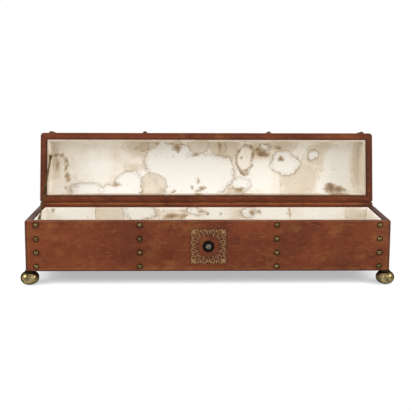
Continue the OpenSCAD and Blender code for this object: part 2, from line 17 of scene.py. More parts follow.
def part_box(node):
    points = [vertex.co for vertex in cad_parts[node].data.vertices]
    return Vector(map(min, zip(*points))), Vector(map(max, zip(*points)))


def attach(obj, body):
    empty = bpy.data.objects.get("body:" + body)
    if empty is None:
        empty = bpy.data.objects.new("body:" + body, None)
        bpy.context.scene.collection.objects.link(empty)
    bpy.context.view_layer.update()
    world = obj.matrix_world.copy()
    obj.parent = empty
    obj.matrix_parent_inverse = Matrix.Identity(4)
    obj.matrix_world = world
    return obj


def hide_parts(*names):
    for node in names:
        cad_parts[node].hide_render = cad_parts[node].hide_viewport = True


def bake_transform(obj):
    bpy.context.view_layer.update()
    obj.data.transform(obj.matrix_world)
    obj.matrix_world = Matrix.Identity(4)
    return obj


bl_info = {
    "name": "Leather Box",
    "version": (1, 0, 0),
    "blender": (4, 5, 0),
    "location": "View3D > Sidebar > Leather Box",
    "description": "Dresses the frame of a long leather-covered box with its leather, lining and brass",
    "category": "Object",
}

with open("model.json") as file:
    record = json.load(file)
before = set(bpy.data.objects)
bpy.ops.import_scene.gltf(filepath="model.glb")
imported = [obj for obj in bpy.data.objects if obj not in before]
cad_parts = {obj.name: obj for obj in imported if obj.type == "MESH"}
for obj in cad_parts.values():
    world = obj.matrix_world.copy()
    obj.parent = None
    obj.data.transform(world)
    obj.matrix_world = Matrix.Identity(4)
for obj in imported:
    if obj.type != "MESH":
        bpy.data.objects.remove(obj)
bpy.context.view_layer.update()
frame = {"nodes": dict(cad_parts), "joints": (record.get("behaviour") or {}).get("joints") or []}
MM = 0.001

# The case over its leather, and the hinge that the lid turns on
CASE_LOW, CASE_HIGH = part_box("base_leather_wrap")
HALF_X = CASE_HIGH.x
HALF_Y = (CASE_HIGH.y - CASE_LOW.y) / 2
CENTRE_Y = (CASE_HIGH.y + CASE_LOW.y) / 2
RIM_Z = CASE_HIGH.z
BOSS_Z = sum(corner.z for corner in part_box("boss_ring")) / 2
HINGE = frame["joints"][0]
PIN = Vector(HINGE["pos_m"])
OPEN_ANGLE = math.radians(HINGE["range_deg"][1])
LID_Z = 2 * PIN.z - RIM_Z
SWING = Matrix.Translation(PIN) @ Matrix.Rotation(-OPEN_ANGLE, 4, "X") @ Matrix.Translation(-PIN)

# A light line this far from each end of the case, with darker leather outside it
END_LINE = 7.5 * MM
# The dark square round the boss, from and to these distances
TOOLED_FROM, TOOLED_TO = 16 * MM, 40 * MM
# How far a nail pulls the leather, across it and along it
NAIL_REACH, NAIL_DEPTH = 14 * MM, 4 * MM
# How far the leather is turned down inside the rim
TURNED_IN = 6 * MM
# How far the rim sags at the middle of a corner
CORNER_DROP = 0.4 * MM
# Half the width of the scroll ornament as it is drawn, in millimetres
ORNAMENT_HALF = 36.2


def linear(hex_colour):
    """The linear value of an sRGB hex colour."""
    parts = [int(hex_colour[i : i + 2], 16) / 255 for i in (0, 2, 4)]
    return [c / 12.92 if c <= 0.04045 else ((c + 0.055) / 1.055) ** 2.4 for c in parts]


def length_property(name, millimetres, words):
    """A length that a user can change."""
    return FloatProperty(name=name, description=words, default=millimetres * MM, unit="LENGTH")


def colour_property(name, hex_colour, words):
    """A colour that a user can change."""
    return FloatVectorProperty(
        name=name, description=words, subtype="COLOR", size=3, min=0, max=1,
        default=linear(hex_colour),
    )


class LeatherBoxSizes(bpy.types.PropertyGroup):
    """Sizes of the visible details."""

    wall_height: length_property("Lid wall height", 46, "Height of the lid's straight walls")
    rise: length_property("Lid rise", 18, "Rise of the barrel top above the lid's walls")
    corner: length_property("Corner radius", 5, "Radius of the upright corners over the leather")
    lid_corner: length_property("Lid corner radius", 7.5, "Radius of the lid's worn front corners")
    rim: length_property("Rim width", 15, "Width of the leather rim round the lining")
    edge: length_property("Edge radius", 2.2, "How far the leather rounds over an edge")
    cell: length_property("Leather cell", 2.5, "Size of a cell in the leather's mesh")
    wave: length_property("Leather waviness", 0.45, "Depth of the slow waves in the old leather")
    dimple: length_property("Nail dimple", 0.5, "How far a nail's rim pulls the leather in")
    nail_width: length_property("Nail width", 10.8, "Diameter of a nail's domed head")
    nail_rise: length_property("Nail rise", 4.3, "Height of a nail's head")
    link_pitch: length_property("Link pitch", 4.6, "Pitch that the chain's links come nearest to")
    link_width: length_property("Link width", 3.5, "Width of a link between its wires' middles")
    wire: length_property("Wire", 1.4, "Diameter of the chain's wire")
    ring: length_property("End ring", 8.2, "Diameter of the end rings between their wires' middles")
    neck: length_property("Stay screw neck", 3.2, "Diameter of the neck that an end ring turns on")
    seed: IntProperty(name="Seed", description="Seed of everything that varies", default=7)


class LeatherBoxColours(bpy.types.PropertyGroup):
    """Colours of the finishes."""

    leather: colour_property("Leather", "783818", "Main brown of the waxed leather")
    leather_dark: colour_property("Dark leather", "4A1B08", "Darker red-brown clouds")
    # Also painted as highlight along rounded edges
    leather_light: colour_property("Worn leather", "9C6633", "Tan where the dye has worn")
    leather_stain: colour_property("Damp patches", "601E00", "Dark red patches of the front")
    # Also painted shade at corners, rim edges, the bottom edge and round each nail
    leather_dirt_and_shade: colour_property("Dirt", "2E150D", "Grime in folds and round nails")
    lining: colour_property("Lining", "F2EBDE", "Cream of the old lining")
    lining_pale: colour_property("Pale lining", "F1EEE7", "Bleached fields of the lining")
    tide: colour_property("Tide line", "A68A63", "Brown edge of a dried stain")
    stain: colour_property("Stain", "C4B193", "Beige stains")
    stain_dark: colour_property("Dark stain", "7C5D45", "Darkest stains")
    brass: colour_property("Brass", "92815A", "Polished high spots of the aged brass")
    nail_brass: colour_property("Nail brass", "6F5E3A", "Greenish brown brass of the nails and chain")
    # Also painted as shade on the feet and at the metal's glancing edges
    patina: colour_property("Patina", "231C11", "Brown-black tarnish in the hollows")
    bronze: colour_property("Bronze", "3E3A35", "Dark bronze of the boss's dome")
    blackened: colour_property("Blackened bronze", "1E1B17", "Ring of the boss")
    gilding: colour_property("Gilding", "AA8250", "Gilt of the scrolls")
    wood: colour_property("Wood", "B08A5C", "Bare boards under the leather")
    steel: colour_property("Steel", "8C8C8A", "Plain steel of hidden fixings")


def sizes():
    """The sizes in use."""
    return bpy.context.scene.leather_box_sizes


def colours(name):
    """A colour in use, with its alpha."""
    return (*getattr(bpy.context.scene.leather_box_colours, name), 1.0)


# Materials


def add(tree, kind, inputs=None, **settings):
    """Adds a node, with its settings and its inputs. An input is a value, a socket, a node for its
    first output, or a list of these."""
    made = tree.nodes.new(kind)
    for key, value in settings.items():
        setattr(made, key, value)
    for key, given in (inputs or {}).items():
        for source in given if isinstance(given, list) else [given]:
            if isinstance(source, bpy.types.Node):
                source = source.outputs[0]
            if isinstance(source, bpy.types.NodeSocket):
                tree.links.new(source, made.inputs[key])
            else:
                made.inputs[key].default_value = source
    return made


def new_material(name):
    """An empty material, its tree and the piece's own coordinates."""
    made = bpy.data.materials.new(name)
    made.use_nodes = True
    made.node_tree.nodes.clear()
    return made, made.node_tree, add(made.node_tree, "ShaderNodeTexCoord").outputs["Object"]


def finished(made, inputs):
    """Ends a material in one Principled surface."""
    surface = add(made.node_tree, "ShaderNodeBsdfPrincipled", inputs)
    add(made.node_tree, "ShaderNodeOutputMaterial", {"Surface": surface})
    return made


def cloud(tree, place, across, low, high, detail=3.0, stretch=(1, 1, 1), shift=(0, 0, 0), rough=0.55):
    """A mask from 0 to 1 of soft clouds, about so many millimetres across."""
    moved = add(tree, "ShaderNodeMapping", {"Scale": stretch, "Location": shift, "Vector": place})
    field = add(
        tree, "ShaderNodeTexNoise",
        {"Scale": 1 / (across * MM), "Detail": detail, "Roughness": rough, "Vector": moved},
    )
    return add(
        tree, "ShaderNodeMapRange", {"Value": field, "From Min": low, "From Max": high},
        interpolation_type="SMOOTHSTEP",
    )


def nearness(tree, place, middle, reach):
    """1 at the middle of an ellipsoid, and 0 at its reach along each axis."""
    moved = add(
        tree, "ShaderNodeMapping", {"Location": middle, "Scale": reach, "Vector": place},
        vector_type="TEXTURE",
    )
    near = add(tree, "ShaderNodeTexGradient", {"Vector": moved}, gradient_type="SPHERICAL")
    return near.outputs["Fac"]


def painted(tree, ground, layers):
    """A colour with tints laid over it in order. Each layer is a tint's name, its mask and strength."""
    colour = colours(ground)
    for tint, mask, strength in layers:
        amount = add(tree, "ShaderNodeMath", {0: mask, 1: strength}, operation="MULTIPLY")
        mix = add(
            tree, "ShaderNodeMix", {"Factor": amount, 6: colour, 7: colours(tint)}, data_type="RGBA",
        )
        colour = mix.outputs[2]
    return colour


def waxed_leather(name, red=0.0):
    """Waxed cowhide, dyed brown by hand: the dye lies in clouds and wears to tan on the folds, the
    wax gives a soft broad sheen, and grime stays in creases and round the nails. Painted shade also darkens
    the upright corners, the rim's edges, the end rims, the bottom edge and each nail's rim, and a painted
    highlight lightens the rounded edges."""
    made, tree, place = new_material(name)
    marks = add(tree, "ShaderNodeAttribute", attribute_name="marks")
    wear_and_highlight, dirt_and_shade, nail_dirt_and_shadow = add(tree, "ShaderNodeSeparateColor", {"Color": marks}).outputs

    clouds = cloud(tree, place, 80, 0.36, 0.66, 5, (0.8, 1, 1.1))
    ragged = cloud(tree, place, 11, 0.3, 0.62, 6, (1, 1, 1), (4, 4, 1), 0.62)
    damp = []
    for x, z, half_x, half_z, amount in FRONT_PATCHES:
        near = nearness(tree, place, (x * MM, CASE_LOW.y, z * MM), (half_x * MM, 5 * MM, half_z * MM))
        patch = add(tree, "ShaderNodeMath", {0: near, 1: ragged}, operation="MULTIPLY")
        damp.append(("leather_stain", patch, amount))
    rubbed = cloud(tree, place, 12, 0.3, 0.62, 5, (0.5, 1, 1))
    worn = add(tree, "ShaderNodeMath", {0: wear_and_highlight, 1: rubbed}, operation="MULTIPLY")
    colour = painted(tree, "leather", (
        # Clouds of dye, blotchy as the hide took them
        ("leather_dark", clouds, 0.5 + red),
        ("leather_dark", cloud(tree, place, 26, 0.48, 0.68, 7, (0.9, 1, 1.1), (3, 1, 2), 0.62), 0.5),
        ("leather_light", cloud(tree, place, 45, 0.5, 0.74, 7, (0.8, 1, 1.1), (8, 5, 1), 0.62), 0.42 - red),
        ("leather_dark", cloud(tree, place, 9, 0.5, 0.72, 5, (0.8, 1, 1.2), (2, 2, 8), 0.6), 0.42),
        ("leather_light", cloud(tree, place, 7, 0.52, 0.74, 5, (0.6, 1, 1.5), (5, 0, 9), 0.6), 0.3),
        # The wax gathers the dye in spots of 2 mm
        ("leather_dirt_and_shade", cloud(tree, place, 2, 0.4, 0.72), 0.16),
        # Scuffs: short dark scratches, longer than they are high
        ("leather_dirt_and_shade", cloud(tree, place, 8, 0.69, 0.74, 3, (0.4, 1, 2.0), (1, 7, 3), 0.6), 0.5),
        # Old damp left darker patches on the front
        *damp,
        # Folds are rubbed to tan in places, with a painted highlight on rounded edges; creases hold dirt,
        # and painted shade darkens corners, edges and the leather round each nail
        ("leather_light", worn, 0.85),
        ("leather_dirt_and_shade", dirt_and_shade, 0.85),
        ("leather_dirt_and_shade", nail_dirt_and_shadow, 0.55),
    ))
    # The grain is 1.2 mm across on such a hide, with wrinkles 5 mm across over it
    grain = add(
        tree, "ShaderNodeTexVoronoi", {"Scale": 1 / (1.2 * MM), "Smoothness": 0.4, "Vector": place},
        feature="SMOOTH_F1",
    )
    wrinkle = add(
        tree, "ShaderNodeTexNoise",
        {"Scale": 1 / (5 * MM), "Detail": 6.0, "Roughness": 0.6, "Vector": place},
    )
    height = add(tree, "ShaderNodeMath", {0: wrinkle, 1: 0.45, 2: grain}, operation="MULTIPLY_ADD")
    bump = add(tree, "ShaderNodeBump", {"Strength": 0.35, "Distance": 0.35 * MM, "Height": height})
    rough = add(tree, "ShaderNodeMapRange", {"To Min": 0.42, "To Max": 0.62, "Value": clouds})
    return finished(made, {
        "Specular IOR Level": 0.2, "Base Color": colour, "Roughness": rough, "Normal": bump,
    })


def stained_lining(name, stains):
    """Thin skiver lining pasted on board, once cream. Damp has spread in it and dried: fields are
    bleached, tan patches and islands lie over them, and each has a brown tide line at its edge. In the lid,
    the tan patches on the end walls are partly painted shade."""
    made, tree, place = new_material(name)
    # The damp spread in lobes of these sizes, so the coordinates are pushed about by them
    pushed = place
    for across, push in ((45 * MM, 26 * MM), (14 * MM, 13 * MM), (5 * MM, 6 * MM)):
        field = add(
            tree, "ShaderNodeTexNoise", {"Scale": 1 / across, "Detail": 5.0, "Vector": place},
        ).outputs["Color"]
        centred = add(tree, "ShaderNodeVectorMath", {0: field, 1: (0.5, 0.5, 0.5)}, operation="SUBTRACT")
        pushed = add(
            tree, "ShaderNodeVectorMath", {0: centred, 1: (push, push, push), 2: pushed},
            operation="MULTIPLY_ADD",
        )

    def depth_in(kind, margin):
        """How deep a point lies in the nearest stain of a kind, in millimetres, and its margin."""
        found = None
        for x, z, half_x, half_z in stains[kind]:
            wide, tall = half_x + margin, half_z + margin
            near = nearness(tree, pushed, (x * MM, 0, z * MM), (wide * MM, 10, tall * MM))
            deep = add(tree, "ShaderNodeMath", {0: near, 1: min(wide, tall)}, operation="MULTIPLY")
            if found is not None:
                deep = add(tree, "ShaderNodeMath", {0: found, 1: deep}, operation="MAXIMUM")
            found = deep
        return found

    def zone(depth, *parts):
        """A mask where all the parts meet. A part is a mask, or the depths that take it from 0 to 1."""
        found = None
        for part in parts:
            if isinstance(part, tuple):
                part = add(
                    tree, "ShaderNodeMapRange", {"Value": depth, "From Min": part[0], "From Max": part[1]},
                    interpolation_type="SMOOTHSTEP",
                )
            if found is not None:
                part = add(tree, "ShaderNodeMath", {0: found, 1: part}, operation="MULTIPLY")
            found = part
        return found

    # Dried dirt is broken up and flecked
    broken = cloud(tree, place, 13, 0.3, 0.62, 5, shift=(9, 1, 4))
    flecks = cloud(tree, place, 3.2, 0.42, 0.62, 3, shift=(2, 6, 1))
    haze = cloud(tree, place, 110, 0.35, 0.7, 6)
    tan, bleached, faded = depth_in("tan", 8), depth_in("bleached", 8), depth_in("faded", 8)
    island, ring, spotted = depth_in("island", 6), depth_in("ring", 6), depth_in("spots", 5)
    band = ((4.6, 7), (14, 9))
    ringed = ()
    if stains["ring"]:
        ringed = (
            ("lining", zone(ring, (11, 13)), 0.7),
            ("tide", zone(ring, *band, broken), 0.9),
            ("stain_dark", zone(ring, *band, flecks), 0.55),
        )
    soiled = add(tree, "ShaderNodeAttribute", attribute_name="soiled").outputs["Fac"]
    colour = painted(tree, "lining", (
        ("lining_pale", haze, 0.5),
        ("stain", cloud(tree, pushed, 40, 0.45, 0.75, 6, shift=(4, 2, 7)), 0.3),
        ("tide", cloud(tree, pushed, 5, 0.5, 0.8, 4, (0.3, 1, 1.6), (3, 3, 3)), 0.16),
        ("tide", cloud(tree, place, 6, 0.52, 0.78, 6, (1.8, 1, 0.5), (6, 8, 3), 0.65), 0.18),
        ("stain", zone(tan, (3, 14)), 0.5),
        ("tide", zone(tan, (3.5, 6), (8.5, 6), broken), 0.35),
        ("tide", zone(bleached, (1, 7.5)), 0.3),
        ("lining_pale", zone(bleached, (7.4, 8.8)), 0.92),
        ("tide", zone(bleached, (6.2, 7.6), (9, 7.6), broken), 0.65),
        ("lining_pale", zone(faded, (3, 16)), 0.8),
        ("stain_dark", zone(bleached, (2, 7), (16, 9), flecks), 0.3),
        ("stain", zone(island, (5.4, 6.6)), 0.55),
        ("lining", zone(island, (7, 16), haze), 0.6),
        ("stain_dark", zone(island, (4.8, 6.2), (7.6, 6.2), broken), 0.5),
        *ringed,
        ("tide", zone(spotted, (0.8, 6)), 0.75),
        ("stain_dark", zone(spotted, (4, 10), zone(flecks, (-1.2, 0.8))), 0.9),
        # Fly specks and pinholes 1 mm across
        ("stain_dark", cloud(tree, place, 4, 0.735, 0.775, 1), 0.7),
        # The panel's open edge is soiled by hands
        ("tide", soiled, 0.6),
    ))
    crinkle = add(
        tree, "ShaderNodeTexNoise",
        {"Scale": 1 / (14 * MM), "Detail": 7.0, "Roughness": 0.65, "Vector": pushed},
    )
    lifted = add(
        tree, "ShaderNodeMath", {0: zone(bleached, (7, 9)), 1: 0.12, 2: crinkle},
        operation="MULTIPLY_ADD",
    )
    bump = add(tree, "ShaderNodeBump", {"Strength": 0.35, "Distance": 1.0 * MM, "Height": lifted})
    return finished(made, {
        "Roughness": 0.86, "Specular IOR Level": 0.2, "Base Color": colour, "Normal": bump,
    })


def aged_brass(name, bright, rough, tarnish, dents):
    """Cast or pressed brass, lacquer gone: handled spots stay bright, and brown-black tarnish sits in
    the hollows, so it glints between dark edges. On the feet the same darkening stands in for painted shade."""
    made, tree, place = new_material(name)
    hollow = add(tree, "ShaderNodeAttribute", attribute_name="hollow").outputs["Fac"]
    cloudy = cloud(tree, place, 7, 0.4, 0.68, 5)
    dull = add(
        tree, "ShaderNodeMath", {0: cloudy, 1: tarnish, 2: hollow}, operation="MULTIPLY_ADD",
        use_clamp=True,
    )
    fine = cloud(tree, place, 1.6, 0.5, 0.75)
    colour = painted(tree, bright, (("patina", dull, 0.92), ("patina", fine, 0.3)))
    roughness = add(
        tree, "ShaderNodeMapRange", {"To Min": rough[0], "To Max": rough[1], "Value": dull},
    )
    hammered = add(
        tree, "ShaderNodeTexNoise", {"Scale": 1 / (3.5 * MM), "Detail": 3.0, "Vector": place},
    )
    bump = add(tree, "ShaderNodeBump", {"Strength": dents, "Distance": 0.3 * MM, "Height": hammered})
    # The patina colour also dims what a metal reflects at a glancing angle: painted shade at the metal's
    # edges
    return finished(made, {
        "Metallic": 1.0, "Specular Tint": colours("patina"), "Base Color": colour,
        "Roughness": roughness, "Normal": bump,
    })


def gilt_leather(name):
    """Leather pressed into relief and gilt with leaf: gold on the crowns, rubbed through to brown, and
    darkened to brown as painted shade where each bar meets the leather.
    """
    made, tree, place = new_material(name)
    hollow = add(tree, "ShaderNodeAttribute", attribute_name="hollow").outputs["Fac"]
    rubbed = cloud(tree, place, 3.5, 0.45, 0.65, 4)
    rubbed_and_shaded = add(
        tree, "ShaderNodeMath", {0: rubbed, 1: 0.3, 2: hollow}, operation="MULTIPLY_ADD",
        use_clamp=True,
    )
    colour = painted(tree, "gilding", (("leather_dark", rubbed_and_shaded, 0.9),))
    metal = add(tree, "ShaderNodeMapRange", {"To Min": 0.65, "To Max": 0.0, "Value": rubbed_and_shaded})
    return finished(made, {"Roughness": 0.34, "Base Color": colour, "Metallic": metal})


def sawn_wood(name):
    """Sawn softwood board, unfinished, with grain along the box every 3 mm."""
    made, tree, place = new_material(name)
    grain = cloud(tree, place, 3, 0.35, 0.7, 4, (0.06, 1, 1))
    colour = painted(tree, "wood", (("leather_dark", grain, 0.35),))
    return finished(made, {"Roughness": 0.75, "Base Color": colour})


def plain_steel(name):
    """Drawn steel wire rod, dull, with faint dark marks."""
    made, tree, place = new_material(name)
    colour = painted(tree, "steel", (("leather_dirt_and_shade", cloud(tree, place, 2, 0.4, 0.7, 4), 0.4),))
    return finished(made, {"Roughness": 0.4, "Metallic": 1.0, "Base Color": colour})


def material(name):
    """A finish by its name, made once."""
    if name in bpy.data.materials:
        return bpy.data.materials[name]
    maker, *settings = FINISHES[name]
    return maker(name, *settings)


# Dark patches of the front, in millimetres and shares: x, z, half width, half height, strength
FRONT_PATCHES = (
    (-88, 59, 40, 24, 0.9), (-266, 71, 26, 18, 0.6), (-176, 65, 16, 12, 0.6), (-40, 96, 30, 10, 0.4),
    (170, 52, 40, 18, 0.3), (-300, 40, 30, 14, 0.3), (60, 110, 40, 10, 0.3), (230, 80, 26, 20, 0.3),
    (255, 102, 9, 3, 0.9), (268, 101, 7, 3, 0.8), (284, 101, 9, 3, 0.9), (301, 102, 8, 3, 0.8),
)
# Stains, in millimetres: x, z, half width, half height
LID_STAINS = {
    "bleached": (
        (-89, 209, 48, 42), (-35, 177, 84, 48), (-3, 185, 68, 44), (-105, 239, 24, 22),
        (-51, 237, 12, 12), (-262, 151, 44, 16), (-208, 147, 40, 14), (-173, 159, 32, 30),
        (129, 247, 12, 7), (174, 211, 36, 26), (237, 228, 11, 11), (79, 162, 22, 17), (30, 205, 30, 22),
    ),
    "faded": (
        (123, 191, 27, 27), (135, 167, 17, 22), (281, 157, 39, 22), (219, 238, 4, 25),
        (-245, 200, 34, 16), (290, 210, 30, 44), (-150, 180, 30, 12), (108, 176, 40, 26),
        (-30, 232, 60, 16),
    ),
    # The tan patches at x = -338 and 338 lie on the lid's end walls: dirt, and painted shade there
    "tan": (
        (-143, 246, 32, 24), (-151, 250, 36, 18), (-163, 195, 24, 12), (208, 179, 46, 35),
        (169, 250, 39, 15), (44, 237, 26, 26), (113, 233, 29, 22), (-338, 210, 10, 40),
        (338, 204, 16, 66), (200, 152, 39, 15), (262, 226, 46, 30),
    ),
    "island": (
        (-119, 161, 28, 26), (-67, 252, 12, 20), (-17, 248, 26, 20), (24, 246, 18, 18),
        (62, 145, 26, 8), (-131, 248, 26, 12),
    ),
    "ring": ((87, 218, 22, 37),),
    "spots": (
        (-336, 229, 11, 2), (-323, 224, 3, 5), (-318, 212, 2, 11), (-316, 196, 2, 13),
        (-312, 178, 3, 8), (-309, 170, 4, 3), (-310, 155, 2, 2), (-335, 206, 1, 12),
        (-15, 155, 11, 4), (-23, 173, 2, 6), (-35, 161, 3, 2), (-66, 240, 4, 8), (26, 244, 2, 12),
        (-25, 226, 12, 2), (72, 149, 12, 3), (-77, 145, 4, 2), (123, 231, 15, 6), (112, 238, 6, 5),
        (166, 219, 10, 4), (276, 153, 13, 8), (290, 150, 15, 5), (303, 148, 10, 2), (79, 220, 2, 2),
        (79, 152, 15, 2), (-108, 250, 8, 2), (161, 248, 12, 3), (-200, 163, 12, 2),
    ),
}
BASE_STAINS = {
    "bleached": ((-28, 118, 29, 8), (89, 117, 18, 9), (-141, 116, 37, 16)),
    "faded": (
        (-282, 116, 60, 18), (136, 113, 60, 18), (20, 116, 50, 16), (240, 116, 60, 16),
        (-190, 116, 30, 18),
    ),
    "tan": ((-78, 111, 31, 12), (58, 111, 37, 13), (318, 111, 22, 14)),
    "island": ((-206, 113, 30, 30), (-72, 104, 26, 12)),
    "ring": (),
    "spots": (
        (-325, 117, 6, 2), (-75, 111, 18, 4), (-52, 107, 10, 2), (97, 117, 7, 3),
        (110, 121, 4, 2), (32, 117, 3, 1), (178, 114, 1, 13), (-15, 119, 8, 2), (-2, 116, 2, 2),
    ),
}
# What makes each finish. Brass: bright colour, roughness where bright and dull, tarnish and dents
FINISHES = {
    "waxed_leather": (waxed_leather,),
    "red_leather": (waxed_leather, 0.2),
    "lid_lining": (stained_lining, LID_STAINS),
    "base_lining": (stained_lining, BASE_STAINS),
    "aged_brass": (aged_brass, "brass", (0.24, 0.5), 0.55, 0.18),
    "bright_brass": (aged_brass, "brass", (0.2, 0.4), 0.85, 0.1),
    "dark_brass": (aged_brass, "nail_brass", (0.12, 0.22), 0.6, 0.04),
    "chain_brass": (aged_brass, "nail_brass", (0.16, 0.28), 0.8, 0.05),
    "dark_bronze": (aged_brass, "bronze", (0.12, 0.2), 0.5, 0.1),
    "black_bronze": (aged_brass, "blackened", (0.12, 0.22), 0.4, 0.1),
    "gilt_leather": (gilt_leather,),
    "sawn_wood": (sawn_wood,),
    "plain_steel": (plain_steel,),
}


# Meshes


def new_object(name, data):
    """An object in the scene."""
    made = bpy.data.objects.new(name, data)
    bpy.context.scene.collection.objects.link(made)
    return made


def keep_on_points(mesh, name, kind, key, values):
    """Keeps a named value on every point of a mesh."""
    layer = mesh.attributes.new(name, kind, "POINT")
    layer.data.foreach_set(key, values)


def make_object(name, points, faces, finish):
    """A smooth mesh object at the origin, with its finish."""
    mesh = bpy.data.meshes.new(name)
    mesh.from_pydata([tuple(p) for p in points], [], faces)
    mesh.validate()
    mesh.materials.append(material(finish))
    mesh.polygons.foreach_set("use_smooth", [True] * len(mesh.polygons))
    return new_object(name, mesh)


def point_outwards(made):
    """Merges doubles and turns the faces outwards."""
    work = bmesh.new()
    work.from_mesh(made.data)
    bmesh.ops.remove_doubles(work, verts=work.verts, dist=1e-6)
    bmesh.ops.recalc_face_normals(work, faces=work.faces)
    work.to_mesh(made.data)
    work.free()


def seat(made, body, nodes):
    """Puts a finished piece on its body, in place of its CAD nodes."""
    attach(made, body)
    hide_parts(*nodes)


def finish_node(node, finish):
    """Gives a CAD node its finish."""
    mesh = frame["nodes"][node].data
    mesh.materials.clear()
    mesh.materials.append(material(finish))


def evaluated_mesh(made):
    """The plain mesh that an object's modifiers give."""
    bpy.context.view_layer.update()
    return bpy.data.meshes.new_from_object(made.evaluated_get(bpy.context.evaluated_depsgraph_get()))


def flattened(made):
    """The object with its evaluated mesh, without its modifiers."""
    mesh, old = evaluated_mesh(made), made.data
    made.modifiers.clear()
    made.data = mesh
    mesh.name = made.name
    bpy.data.meshes.remove(old)
    return made


def ring_faces(rings, n):
    """Faces between rings of n points, each joined to the next."""
    return [
        (k * n + i, k * n + (i + 1) % n, (k + 1) * n + (i + 1) % n, (k + 1) * n + i)
        for k in range(rings - 1) for i in range(n)
    ]


def turned(name, profile, finish, steps):
    """A turned piece about Z, drawn at the origin from a profile of (radius, height, darkening by tarnish
    and painted shade).
    """
    points = []
    for radius, height, _ in profile:
        for i in range(steps):
            a = 2 * math.pi * i / steps
            points.append((radius * math.cos(a), radius * math.sin(a), height))
    faces = ring_faces(len(profile), steps)
    faces.append(tuple(reversed(range(steps))))
    faces.append(tuple(range(len(points) - steps, len(points))))
    made = make_object(name, points, faces, finish)
    hollows_and_shade = [hollow for _, _, hollow in profile for _ in range(steps)]
    keep_on_points(made.data, "hollow", "FLOAT", "value", hollows_and_shade)
    return made


# Leather shells


def plan_ring(inset, cell, front_corner):
    """Points round the case in plan, as (x, y, outward x, outward y, how near a corner's middle).
    The number of points doesn't depend on the inset, so that rings can be joined."""
    size = sizes()
    half_x, half_y = HALF_X - inset, HALF_Y - inset
    corner_steps = 8
    side_steps = [round(2 * (half - size.corner) / cell) for half in (HALF_X, HALF_Y)]
    ring = []
    radii = [max(r - inset, 0.4 * MM) for r in (size.corner, front_corner)]
    corners = ((1, 1, 0), (-1, 1, 90), (-1, -1, 180), (1, -1, 270))
    for index, (sx, sy, start) in enumerate(corners):
        radius = radii[sy < 0]
        cx, cy = sx * (half_x - radius), sy * (half_y - radius)
        for k in range(corner_steps + 1):
            a = math.radians(start + 90 * k / corner_steps)
            mid = 1 - abs(2 * k / corner_steps - 1)
            ox, oy = math.cos(a), math.sin(a)
            ring.append((cx + radius * ox, cy + radius * oy, ox, oy, mid))
        nx, ny, _ = corners[(index + 1) % 4]
        following = radii[ny < 0]
        ex = nx * (half_x - following) + (following - radius) * ox
        ey = ny * (half_y - following) + (following - radius) * oy
        steps = side_steps[index % 2]
        for k in range(1, steps):
            t = k / steps
            ring.append((cx + (ex - cx) * t + radius * ox, cy + (ey - cy) * t + radius * oy, ox, oy, 0.0))
    return ring


def nail_places(node):
    """Middle and facing of every nail head in a CAD node, from its solids' heads."""
    work = bmesh.new()
    work.from_mesh(frame["nodes"][node].data)
    bmesh.ops.remove_doubles(work, verts=work.verts, dist=1e-6)
    left = set(work.verts)
    places = []
    while left:
        group, todo = [], [left.pop()]
        while todo:
            vertex = todo.pop()
            group.append(vertex.co.copy())
            for edge in vertex.link_edges:
                other = edge.other_vert(vertex)
                if other in left:
                    left.remove(other)
                    todo.append(other)
        points = np.array(group)
        middle = points.mean(0)
        values, vectors = np.linalg.eigh(np.cov((points - middle).T))
        # Two of the spreads are alike, across the nail, and the odd one lies along it
        axis = vectors[:, 0] if values[1] - values[0] > values[2] - values[1] else vectors[:, 2]
        along = (points - middle) @ axis
        across = np.linalg.norm(points - middle - np.outer(along, axis), axis=1)
        # The head's rim lies nearly half its width from the axis
        rim = along[across > sizes().nail_width * 0.49].mean()
        if along.max() - rim > rim - along.min():
            axis, rim = -axis, -rim
        places.append((Vector(middle + axis * rim), Vector(axis)))
    work.free()
    return places


def shell(name, rings, finish, closed_middle):
    """Joins rings of points into a skin. Each ring is a list of ((x, y, z), (r, g, b) marks)."""
    n = len(rings[0])
    points = [p for ring in rings for p, _ in ring]
    faces = ring_faces(len(rings), n)
    if closed_middle:
        faces.append(tuple(range(len(points) - n, len(points))))
    made = make_object(name, points, faces, finish)
    marks = [c for ring in rings for _, m in ring for c in (*m, 1.0)]
    keep_on_points(made.data, "marks", "FLOAT_COLOR", "color", marks)
    return made


